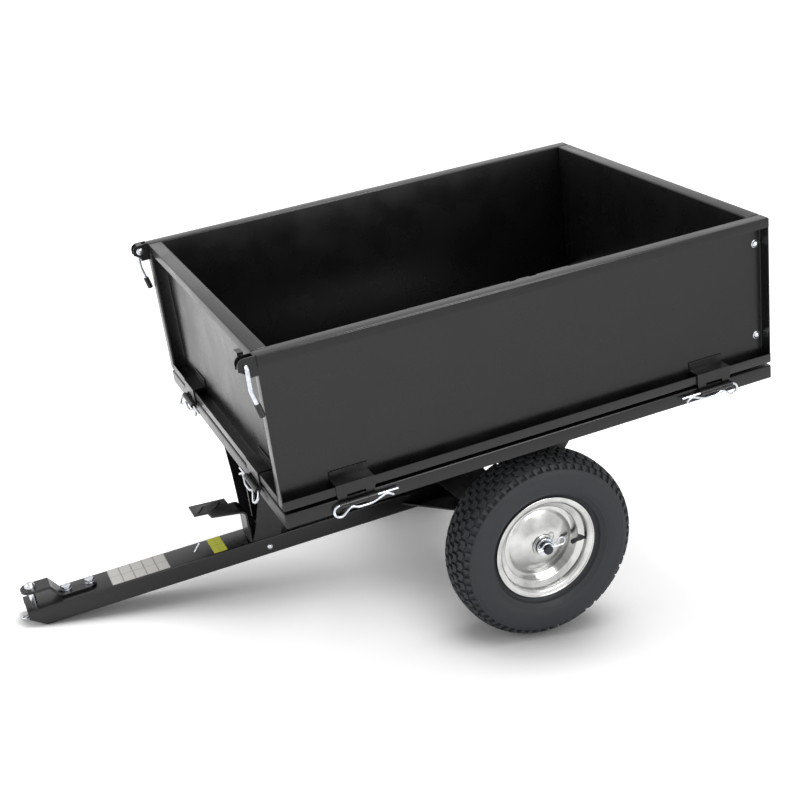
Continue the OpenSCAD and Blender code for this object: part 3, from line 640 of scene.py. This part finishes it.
sheet_metal(drawbar, BAR_WALL, 0.5)

# %% [markdown]
# ## Bent spring wire
#
# A wire bender makes a clip in steps: a straight run, then a bend round a pin. The same two
# steps shape the mesh: the end loop of a round wire is pushed straight, or spun round a
# centre.


# %% Wire bender
def of_kind(geom, kind):
    return [g for g in geom if isinstance(g, kind)]


def verts_of(edges):
    return list(dict.fromkeys(v for e in edges for v in e.verts))


def push(bm, loop, way):
    """Draws the end loop of a wire straight on, and returns the new end loop."""
    new = bmesh.ops.extrude_edge_only(bm, edges=loop)["geom"]
    bmesh.ops.translate(bm, verts=of_kind(new, bmesh.types.BMVert), vec=way)
    return of_kind(new, bmesh.types.BMEdge)


def swing(bm, loop, **bend):
    """Draws the end loop of a wire round a centre, and returns the new end loop."""
    spun = bmesh.ops.spin(bm, geom=list(loop) + verts_of(loop), use_duplicate=False, **bend)
    return of_kind(spun["geom_last"], bmesh.types.BMEdge)


def close_ends(bm, *loops):
    for loop in loops:
        bmesh.ops.contextual_create(bm, geom=verts_of(loop) + list(loop))


def bend_wire(start, straight, steps, wire, sides=16, step_deg=9.0):
    """A wire along X from start for straight millimetres, then steps of (run, radius, turn)
    about Z, or about X where a fourth value says so."""
    bm = bmesh.new()
    ring = bmesh.ops.create_circle(bm, cap_ends=False, segments=sides, radius=wire / 2)["verts"]
    bmesh.ops.rotate(bm, verts=ring, cent=(0, 0, 0), matrix=Matrix.Rotation(math.pi / 2, 3, "Y"))
    bmesh.ops.translate(bm, verts=ring, vec=(start, 0, 0))
    first = bm.edges[:]
    loop, tip, heading = first, Vector((start, 0, 0)), Vector((1, 0, 0))
    for length, radius, degrees, *about in [(straight, 1, 0)] + list(steps):
        if length > 0:
            loop = push(bm, loop, heading * length)
            tip = tip + heading * length
        if degrees:
            axis = Vector((1, 0, 0)) if about else Vector((0, 0, 1))
            centre = tip + math.copysign(radius, degrees) * axis.cross(heading)
            count = max(2, round(abs(degrees) / step_deg))
            loop = swing(
                bm, loop, cent=centre, axis=axis, angle=math.radians(degrees), steps=count
            )
            bend = Matrix.Rotation(math.radians(degrees), 3, axis)
            tip = centre + bend @ (tip - centre)
            heading = bend @ heading
    close_ends(bm, first, loop)
    bmesh.ops.recalc_face_normals(bm, faces=bm.faces[:])
    caps = [f for f in bm.faces if len(f.verts) == sides]
    bmesh.ops.bevel(
        bm,
        geom=list(dict.fromkeys(e for f in caps for e in f.edges)),
        offset=wire * 0.18,
        segments=2,
        profile=0.5,
        affect="EDGES",
        clamp_overlap=True,
        material=-1,
    )
    return bm


# %% [markdown]
# The hinge clips are the hinges' pins. Each has a straight leg through the knuckles, a loop
# that a finger can pull, and a wavy leg below that snaps against the knuckles.

# %% Hinge clips
CLIP_D, KNUCKLE_D, HINGE_HALF = 5.0, 12.0, 36.5
CLIP_LOOP_R, CLIP_TAIL = 11.25, 42.0
HINGE_X = {"left": 382.0, "right": 382.0, "front": 230.0, "rear": 230.0}
HANG = {"left": 90, "right": 90, "front": 60, "rear": 90}


def hinge_places(side):
    """Matrices of a side's two hinge axes, mirrored so that the loops point outwards."""
    for sign in (1, -1):
        yield SIDES[side] @ flip(x=sign) @ shift(HINGE_X[side], -HINGE_OUT, HINGE_Z)


def hinge_clip():
    """The pull loop turns back by 220 degrees, so the leg below meets the knuckles at 40."""
    under = KNUCKLE_D / 2 + CLIP_D / 2 + 0.4
    c, s = math.cos(math.radians(40)), math.sin(math.radians(40))
    rise = (CLIP_LOOP_R * (1 + c) - under - 10 * (1 - c)) / s
    inboard = HINGE_HALF + CLIP_TAIL
    pull_loop = [(0, CLIP_LOOP_R, -220), (rise, 10, 65)]
    wave = [(4, 20, -25), (HINGE_HALF - 19, 30, -20), (21.5, 12, 55), (8, 1, 0)]
    return bend_wire(-inboard, inboard + HINGE_HALF + 1, pull_loop + wave, CLIP_D)


one_clip = hinge_clip()
for side, hang in HANG.items():
    both = bmesh.new()
    for place in hinge_places(side):
        join_copies(both, one_clip, place @ turn(hang, "X"))
    settle(both, side + "_hinge_wires", "bed", zinc, (side + "_hinge_clips",))
one_clip.free()

# %% [markdown]
# The wheels and the hitch pin are held by smaller clips of the same kind, through a cross
# hole, with their wave over the pin.

# %% Cross-hole clips
WHEEL_Y, HUB_HALF, BUSH_FLANGE, WASHER = 341.0, 25.0, 3.0, 3.0
AXLE_R, AXLE_CLIP_D = 9.5, 3.6
CLIP_Y = WHEEL_Y + HUB_HALF + BUSH_FLANGE + WASHER + 0.3 + 2 * AXLE_CLIP_D
PIN_X, PIN_R, PIN_CLIP_D, PIN_CLIP_Z = 958.0, 6.5, 3.2, -5.0
CLIP_OUT = 12.0  # how far a clip's straight leg reaches past its pin


def cross_clip(pin_r, wire, ring):
    """A clip whose second leg hugs a pin, so its wave follows from the pin and the wire."""
    low, hug, soft = wire + 0.4, pin_r + wire / 2 + 0.3, 2 * wire
    b = math.acos((soft + low) / (soft + hug))
    c, s = math.cos(math.radians(50)), math.sin(math.radians(50))
    rise = (ring * (1 + c) - low - soft * (1 - c)) / s
    ring_x = (hug + soft) * math.sin(b) + (ring + soft) * s + rise * c
    b = math.degrees(b)
    wave = [(rise, soft, 50 + b), (0, hug, -2 * b), (0, soft, b + 24), (4, 1, 0)]
    reach = pin_r + CLIP_OUT
    return bend_wire(-reach, ring_x + reach, [(0, ring, -230)] + wave, wire)


wire = cross_clip(AXLE_R, AXLE_CLIP_D, 8.0)
both = bmesh.new()
for sign in (1, -1):
    join_copies(both, wire, flip(y=sign) @ shift(y=CLIP_Y) @ turn(90, "X") @ flip(y=-1))
settle(both, "axle_clip_wires", "chassis", zinc, ("axle_clips",))
wire.free()
wire = cross_clip(PIN_R, PIN_CLIP_D, 5.5)
one = bmesh.new()
join_copies(one, wire, shift(-PIN_X, 0, PIN_CLIP_Z) @ flip(x=-1))
settle(one, "hitch_pin_wire", "hitch_pin", zinc, ("hitch_pin_clip",))
wire.free()

# %% [markdown]
# ## The pedal's return spring
#
# A torsion spring of 1.6 mm wire lies round the pedal's pin: three open curls with two
# straight legs. The curls are spun with a rise, as a screw is.

# %% Torsion spring
SPRING_R, SPRING_WIRE, SPRING_PITCH, SPRING_CURLS = 7.0, 1.6, 2.0, 3
CURL_STEPS = 32
FIRST_LEG, LAST_LEG = 14.3, 26.0
bm = bmesh.new()
ring = bmesh.ops.create_circle(bm, cap_ends=False, segments=12, radius=SPRING_WIRE / 2)["verts"]
bmesh.ops.translate(bm, verts=ring, vec=(SPRING_R, 0, -FIRST_LEG))
first = bm.edges[:]
loop = push(bm, first, (0, 0, FIRST_LEG))
loop = swing(
    bm,
    loop,
    cent=(0, 0, 0),
    dvec=(0, SPRING_PITCH / CURL_STEPS, 0),
    axis=(0, -1, 0),
    angle=SPRING_CURLS * 2 * math.pi,
    steps=SPRING_CURLS * CURL_STEPS,
)
last = push(bm, loop, (0, 0, LAST_LEG))
close_ends(bm, first, last)
bmesh.ops.translate(bm, verts=bm.verts, vec=(-475.0, -10.0, 43.0))
settle(bm, "pedal_spring_wire", "pedal", zinc, ("pedal_spring",))

# %% [markdown]
# ## The corner latches
#
# One 8 mm round bar is the pin of each latch and its lever: it leaves the outer ear, turns
# down in an elbow and ends in a rubber sleeve.

# %% Levers and grips
LEVER_D, ELBOW, PIN_RUN = 8.0, 7.0, 10.65
LEVER_L, LEVER_BEND, LEVER_END, BEND_R = 41.0, 14.0, 36.0, 24.0
GRIP_ON = 12.0  # how much of the lever's end the grip covers
LATCH = {
    "left": shift(-540.0, -405.0, 558.0),
    "right": flip(y=-1) @ shift(-540.0, -405.0, 558.0),
}
OUTWARD = shift(y=12.35) @ turn(-90, "Z") @ turn(-90, "X")
DOWN = shift(y=-5.3) @ turn(90, "Y") @ turn(90, "X")


def chain(bm, points):
    """Draws an open outline through points and returns its vertices."""
    verts = [bm.verts.new(p) for p in points]
    for a, b in zip(verts, verts[1:]):
        bm.edges.new((a, b))
    return verts


def lathe(bm, axis, steps):
    """Spins all that is drawn so far by a full turn and closes the seam."""
    bmesh.ops.spin(
        bm,
        geom=bm.verts[:] + bm.edges[:],
        cent=(0, 0, 0),
        axis=axis,
        angle=2 * math.pi,
        steps=steps,
        use_merge=True,
    )
    bmesh.ops.remove_doubles(bm, verts=bm.verts[:], dist=1e-4)


def lever():
    bends = [(0, ELBOW, 90), (LEVER_L - ELBOW, BEND_R, LEVER_BEND, "X"), (LEVER_END, 1, 0)]
    return bend_wire(0.0, PIN_RUN, bends, LEVER_D, 20, 5.0)


def grip():
    """A sleeve with five shallow rings and a rounded end, spun from its outline."""
    outline = [(0.0, 4.05), (0.0, 5.6), (0.6, 6.0)]
    for start in range(3, 23, 4):
        outline += [(start, 6.0), (start + 1, 5.5), (start + 2, 6.0)]
    outline += [(23.6, 6.0), (25.2, 5.2), (26.0, 3.6), (26.2, 0.0)]
    bm = bmesh.new()
    chain(bm, [(x, r, 0) for x, r in outline])
    lathe(bm, (1, 0, 0), 24)
    bmesh.ops.contextual_create(bm, geom=[e for e in bm.edges if len(e.link_faces) == 1])
    bm.transform(
        shift(LEVER_L, BEND_R, 0) @ turn(LEVER_BEND, "Z") @ shift(LEVER_END - GRIP_ON, -BEND_R, 0)
    )
    return bm


for side in ("left", "right"):
    for draw, matrix, name, material, slot, node in (
        (lever, OUTWARD, "_latch_bar", zinc, "zinc_plate", "_latch_lever"),
        (grip, DOWN, "_latch_sleeve", moulded, "black_rubber", "_latch_grip"),
    ):
        bm = bmesh.new()
        source = draw()
        join_copies(bm, source, LATCH[side] @ matrix)
        source.free()
        settle(bm, side + name, side + "_latch", material, (side + node,))

# %% [markdown]
# ## Wheels
#
# The rim is one spun strip: rolled lips, bead seats and a deep well, with a pressed disc
# inside. The outline of each sheet is drawn as a chain of edges, its corners are rounded,
# and it is spun round the axle and thickened.

# %% Rims
RIM_SHEET = 2.2
WHEEL = {"left": flip(y=-1) @ shift(y=WHEEL_Y), "right": shift(y=WHEEL_Y)}
# pairs of an offset along the axle and a radius
HALF_BARREL = [
    (34.9, 106.4), (35.4, 108.8), (33.9, 110.2), (31.9, 109.2), (31.3, 104.5), (30.6, 100.0),
    (27.5, 97.0), (17.5, 96.8), (12.8, 83.0),
]
BARREL = HALF_BARREL + [(-y, r) for y, r in reversed(HALF_BARREL)]
DISC = [(2.9, 82.6), (2.9, 70.5), (6.9, 65.0), (17.9, 40.0), (20.9, 28.0), (20.9, 20.6)]


def spun_sheet(points, fillet, thickness):
    """Spins a sheet's middle line round the axle, with rounded corners."""
    bm = bmesh.new()
    verts = chain(bm, [(0, y, r) for y, r in points])
    bmesh.ops.bevel(
        bm,
        geom=verts[1:-1],
        offset=fillet,
        segments=4,
        profile=0.5,
        affect="VERTICES",
        clamp_overlap=True,
        material=-1,
    )
    lathe(bm, (0, 1, 0), 128)
    bmesh.ops.recalc_face_normals(bm, faces=bm.faces[:])
    bmesh.ops.solidify(bm, geom=bm.faces[:], thickness=thickness)
    return bm


for side in ("left", "right"):
    wheel = bmesh.new()
    for points, fillet in ((BARREL, 1.6), (DISC, 3.0)):
        part = spun_sheet(points, fillet, RIM_SHEET)
        join_copies(wheel, part, WHEEL[side])
        part.free()
    settle(
        wheel,
        side + "_rim_pressed",
        side + "_wheel",
        rim_steel,
        (side + "_rim",),
        sharp=40.0,
    )

# %% [markdown]
# ## Turf tyres
#
# The casing is spun from the tyre's rounded section. The tread follows the section: each
# block is cut flat, as a chevron, and is then wrapped on the casing by its place round the
# tyre and its distance from the crown. Five rows of chevrons interlock, and a row of
# tapered lugs runs down each shoulder.

# %% Section of the tyre
TYRE_R, RIM_SEAT, HALF_W = 196.0, 112.0, 53.0
MIDDLE = (TYRE_R + RIM_SEAT) / 2
RISE = (TYRE_R - RIM_SEAT) / 2
SQUARENESS = 2.6  # 2 would make the section an ellipse
TREAD_DEEP, SHOULDER = 5.0, 57.0
WALK_STEPS, WALK_DEG = 360, 0.41


def section(t):
    """The outer section as a superellipse: t is an angle, 90 degrees is the crown."""
    c, s = math.cos(math.radians(t)), math.sin(math.radians(t))
    power = 2 / SQUARENESS
    across = HALF_W * math.copysign(abs(c) ** power, c)
    return Vector((across, MIDDLE + RISE * math.copysign(abs(s) ** power, s)))


# walk from the crown down one side and note the distance walked
walk = [(0.0, section(90.0))]
for k in range(1, WALK_STEPS + 1):
    point = section(90.0 - k * WALK_DEG)
    walk.append((walk[-1][0] + (point - walk[-1][1]).length, point))
print("distance from crown to widest:", round(next(w[0] for w in walk if w[1].y <= MIDDLE), 1))


def on_casing(distance, height):
    """The point of the section at a distance from the crown, moved outwards by height."""
    side, d = (1, distance) if distance >= 0 else (-1, -distance)
    k = next((i for i in range(1, len(walk)) if walk[i][0] >= d), len(walk) - 1)
    (d0, p0), (d1, p1) = walk[k - 1], walk[k]
    point = p0.lerp(p1, (d - d0) / max(d1 - d0, 1e-9))
    along = (p1 - p0).normalized()
    if d < 0.2:  # the crown itself looks straight out
        along = Vector((1, 0))
    point = point + Vector((-along.y, along.x)) * height
    return Vector((side * point.x, point.y))


# %% Casing
TREAD_FADE = 6.0  # over which the casing comes up to the tread at the shoulder
BEAD = [(30.4, 112.5), (29.4, 100.0)]


def casing():
    """Casing outline from bead to bead, sunk under the tread, with three rings on the wall."""
    half = []
    last = walk[-1][0]
    wall_rings = ((SHOULDER + 9.0, 1.1, 0.6), (last - 20.0, 1.4, 0.7), (last - 8.0, 2.5, 1.1))
    d = 0.0
    while d < last:
        sunk = TREAD_DEEP * min(1.0, max(0.0, (SHOULDER - d) / TREAD_FADE))
        raised = sum(h * math.exp(-(((d - at) / width) ** 2)) for at, width, h in wall_rings)
        half.append(on_casing(d, raised - sunk))
        d += 0.9 if d > SHOULDER - 8 else 5.0
    half += [Vector(p) for p in BEAD]
    outline = [Vector((-p.x, p.y)) for p in reversed(half)] + half[1:]
    bm = bmesh.new()
    chain(bm, [(0, p.x, p.y) for p in outline])
    lathe(bm, (0, 1, 0), 120)
    bmesh.ops.recalc_face_normals(bm, faces=bm.faces[:])
    return bm


# %% Tread blocks
SUNK = TREAD_DEEP + 0.6  # a block starts a little below the casing


def block(outline, taper=0.7):
    """A raised block with a slightly smaller top, as a flat pattern in the XY plane."""
    bm = bmesh.new()
    face = bm.faces.new([bm.verts.new((x, y, -SUNK)) for x, y in outline])
    raised = bmesh.ops.extrude_face_region(bm, geom=[face])["geom"]
    top = of_kind(raised, bmesh.types.BMFace)[0]
    verts = of_kind(raised, bmesh.types.BMVert)
    bmesh.ops.translate(bm, verts=verts, vec=(0, 0, SUNK))
    middle = top.calc_center_median()
    for v in verts:
        away = (v.co - middle).normalized()
        v.co -= Vector((away.x, away.y, 0)) * taper
    bmesh.ops.recalc_face_normals(bm, faces=bm.faces[:])
    bmesh.ops.bevel(
        bm,
        geom=list(top.edges),
        offset=0.5,
        segments=1,
        profile=0.5,
        affect="EDGES",
        clamp_overlap=True,
        material=-1,
    )
    return bm


def wrap(target, flat, angle, distance, side=1):
    """Wraps a flat block on the casing: X runs round the tyre, Y from the crown outwards."""
    wrapped = flat.copy()
    for v in wrapped.verts:
        place = on_casing(side * (distance + v.co.y), v.co.z)
        turned = angle + v.co.x / TYRE_R
        v.co = Vector((math.sin(turned) * place.y, place.x, math.cos(turned) * place.y))
    bmesh.ops.recalc_face_normals(wrapped, faces=wrapped.faces[:])
    join_copies(target, wrapped, Matrix.Identity(4))
    wrapped.free()


# %% Tread
BLOCKS, ROWS, ROW_PITCH = 52, range(-2, 3), 17.0
LUGS, LUG_AT = 62, 44.0
LUG = [(-5.6, 0), (5.6, 0), (4.6, 7.0), (3.2, 13.0), (-3.2, 13.0), (-4.6, 7.0)]
PITCH = 2 * math.pi * TYRE_R / BLOCKS
HALF_X, HALF_Y, POINT = PITCH * 0.40, 6.2, 5.0
CHEVRON = [
    (-HALF_X, -HALF_Y - POINT / 2),
    (0, -HALF_Y + POINT / 2),
    (HALF_X, -HALF_Y - POINT / 2),
    (HALF_X, HALF_Y - POINT / 2),
    (0, HALF_Y + POINT / 2),
    (-HALF_X, HALF_Y - POINT / 2),
]
tyre = casing()
flat = block(CHEVRON)
for row in ROWS:
    for k in range(BLOCKS):
        wrap(tyre, flat, 2 * math.pi * (k + 0.5 * (row % 2)) / BLOCKS, row * ROW_PITCH)
flat.free()
flat = block(LUG, 0.5)
for side in (1, -1):
    for k in range(LUGS):
        wrap(tyre, flat, 2 * math.pi * (k + 0.25 * side) / LUGS, LUG_AT, side)
flat.free()
print("tyre faces:", len(tyre.faces))
for side in ("left", "right"):
    piece = bmesh.new()
    join_copies(piece, tyre, WHEEL[side])
    settle(
        piece,
        side + "_tyre_turf",
        side + "_wheel",
        rubber,
        (side + "_tyre",),
        normals=False,
        sharp=35.0,
    )
tyre.free()

# %% [markdown]
# ## Weld beads
#
# Each hinge strap is welded to its panel along its top edge. A bead is a row of small
# overlapping puddles, about 3 mm apart, none quite like the next.

# %% Beads
STRAP_TOP = PANEL_Z + LIP + 18.0
BEAD_HALF, BEAD_IN, BEAD_R, BEAD_PITCH = 36.0, 26.2, 2.0, 2.8


def bead(target, start, end, radius, matrix):
    start, end = Vector(start), Vector(end)
    count = max(2, round((end - start).length / BEAD_PITCH))
    for k in range(count + 1):
        puddle = bmesh.new()
        puddle_r = radius * random.uniform(0.85, 1.15)
        bmesh.ops.create_icosphere(puddle, subdivisions=1, radius=puddle_r)
        wobble = Vector([random.uniform(-0.3, 0.3) for _ in range(3)])
        join_copies(target, puddle, matrix @ shift(*(start.lerp(end, k / count) + wobble)))
        puddle.free()


for side in SIDES:
    beads = bmesh.new()
    for place in hinge_places(side):
        start, end = [(x, BEAD_IN, STRAP_TOP) for x in (-BEAD_HALF, BEAD_HALF)]
        bead(beads, start, end, BEAD_R, place @ shift(0, HINGE_OUT, -HINGE_Z))
    settle(beads, side + "_strap_welds", side + "_side", coat, sharp=60.0)

# %% [markdown]
# ## Labels
#
# Two vinyl labels lie on top of the drawbar, 0.25 mm thick with rounded corners.

# %% Labels
LABEL_W, LABEL_THICK, LABEL_CORNER = 66.0, 0.25, 2.0
LABEL_Z = BAR_TOP + 0.02


def label(name, x0, x1, material):
    bm = bmesh.new()
    bmesh.ops.create_grid(bm, x_segments=1, y_segments=1, size=0.5)
    bmesh.ops.scale(bm, vec=(x1 - x0, LABEL_W, 1), verts=bm.verts)
    bmesh.ops.bevel(
        bm,
        geom=bm.verts[:],
        offset=LABEL_CORNER,
        segments=4,
        profile=0.5,
        affect="VERTICES",
        clamp_overlap=True,
        material=-1,
    )
    raised = bmesh.ops.extrude_face_region(bm, geom=bm.faces[:])["geom"]
    bmesh.ops.translate(bm, verts=of_kind(raised, bmesh.types.BMVert), vec=(0, 0, LABEL_THICK))
    bmesh.ops.translate(bm, verts=bm.verts, vec=((x0 + x1) / 2, 0, LABEL_Z))
    layer = bm.loops.layers.uv.new("label")
    for corner in (corner for f in bm.faces for corner in f.loops):
        at = corner.vert.co
        corner[layer].uv = ((at.x - x0) / (x1 - x0), at.y / LABEL_W + 0.5)
    return settle(bm, name, "chassis", material)


white = vinyl("vinyl_label_white", "#cfcdc8", "#9b9a97", (5, 2))
yellow = vinyl("vinyl_label_yellow", "#dcdf1e", "#aeb018", (2, 2))
label("label_white", -803.5, -682.5, white)
label("label_yellow", -589.0, -560.0, yellow)

# %% [markdown]
# ## Floor, light and background
#
# A pale studio sweep. The floor is a white surface that takes the shadow, with a little
# plain light of its own for the eye and for reflections, so that it meets the white
# background without an edge. Ambient occlusion dims that glow where something is close
# above the floor, a painted contact shadow at the tyres and along the drawbar. Two soft
# lamps shape the paint, and a panel in front, which is only mirrored, draws a thin line of light
# along every fold.


# %% Floor
def looking(tree):
    """1 for rays of the camera and for what is mirrored or seen through, else 0."""
    path = add(tree, "ShaderNodeLightPath")
    value = path.outputs["Is Camera Ray"]
    for kind in ("Is Glossy Ray", "Is Transmission Ray"):
        pair = {0: value, 1: path.outputs[kind]}
        value = add(tree, "ShaderNodeMath", pair, operation="MAXIMUM").outputs["Value"]
    return value


floor_white, tree, shader = finish("floor_white", "#f4f4f4", 0.9)
# painted shadow: the floor's glow fades with ambient occlusion near the tyres and the drawbar
painted_shadow_occlusion = add(tree, "ShaderNodeAmbientOcclusion", {"Distance": 0.3}, samples=12).outputs["AO"]
glow_with_painted_shadow = add(
    tree,
    "ShaderNodeMapRange",
    {"Value": painted_shadow_occlusion, "From Min": 0.5, "From Max": 0.97, "To Min": 0.02, "To Max": 0.66},
    interpolation_type="SMOOTHSTEP",
).outputs["Result"]
strength = add(tree, "ShaderNodeMath", {0: looking(tree), 1: glow_with_painted_shadow}, operation="MULTIPLY")
glow = add(
    tree, "ShaderNodeEmission", {"Color": (1, 1, 1, 1), "Strength": strength.outputs["Value"]}
)
both = add(
    tree, "ShaderNodeAddShader", {0: shader.outputs["BSDF"], 1: glow.outputs["Emission"]}
)
tree.links.new(both.outputs["Shader"], tree.nodes["Material Output"].inputs["Surface"])
bm = bmesh.new()
bmesh.ops.create_grid(bm, x_segments=1, y_segments=1, size=20.0)
mesh = bpy.data.meshes.new("studio_floor")
bm.to_mesh(mesh)
bm.free()
mesh.materials.append(floor_white)
floor = bpy.data.objects.new("studio_floor", mesh)
scene.collection.objects.link(floor)

# %% World
world = bpy.data.worlds.new("studio_world")
scene.world = world
world.use_nodes = True
tree = world.node_tree
levels = {"Value": looking(tree), "To Min": 0.5, "To Max": 1.0}
strength = add(tree, "ShaderNodeMapRange", levels).outputs["Result"]
tree.links.new(strength, tree.nodes["Background"].inputs["Strength"])
tree.nodes["Background"].inputs["Color"].default_value = (1, 1, 1, 1)


# %% Lamps
def lamp(name, place, aim, size, watts, mirrored_only=False):
    light = bpy.data.lights.new(name, "AREA")
    light.shape = "RECTANGLE"
    light.size, light.size_y = size
    light.energy = watts
    holder = bpy.data.objects.new(name, light)
    holder.location = place
    holder.rotation_euler = (Vector(aim) - Vector(place)).to_track_quat("-Z", "Y").to_euler()
    holder.visible_diffuse = not mirrored_only
    scene.collection.objects.link(holder)


lamp("soft_top", (0.35, 0.45, 3.4), (0.1, 0.0, 0.4), (1.5, 1.1), 60)
lamp("soft_left", (-3.4, 0.6, 1.7), (0.0, 0.0, 0.4), (2.2, 2.0), 31)
lamp("strip_front", (0.7, -2.8, 2.2), (0.1, -0.4, 0.4), (1.9, 1.2), 70, mirrored_only=True)
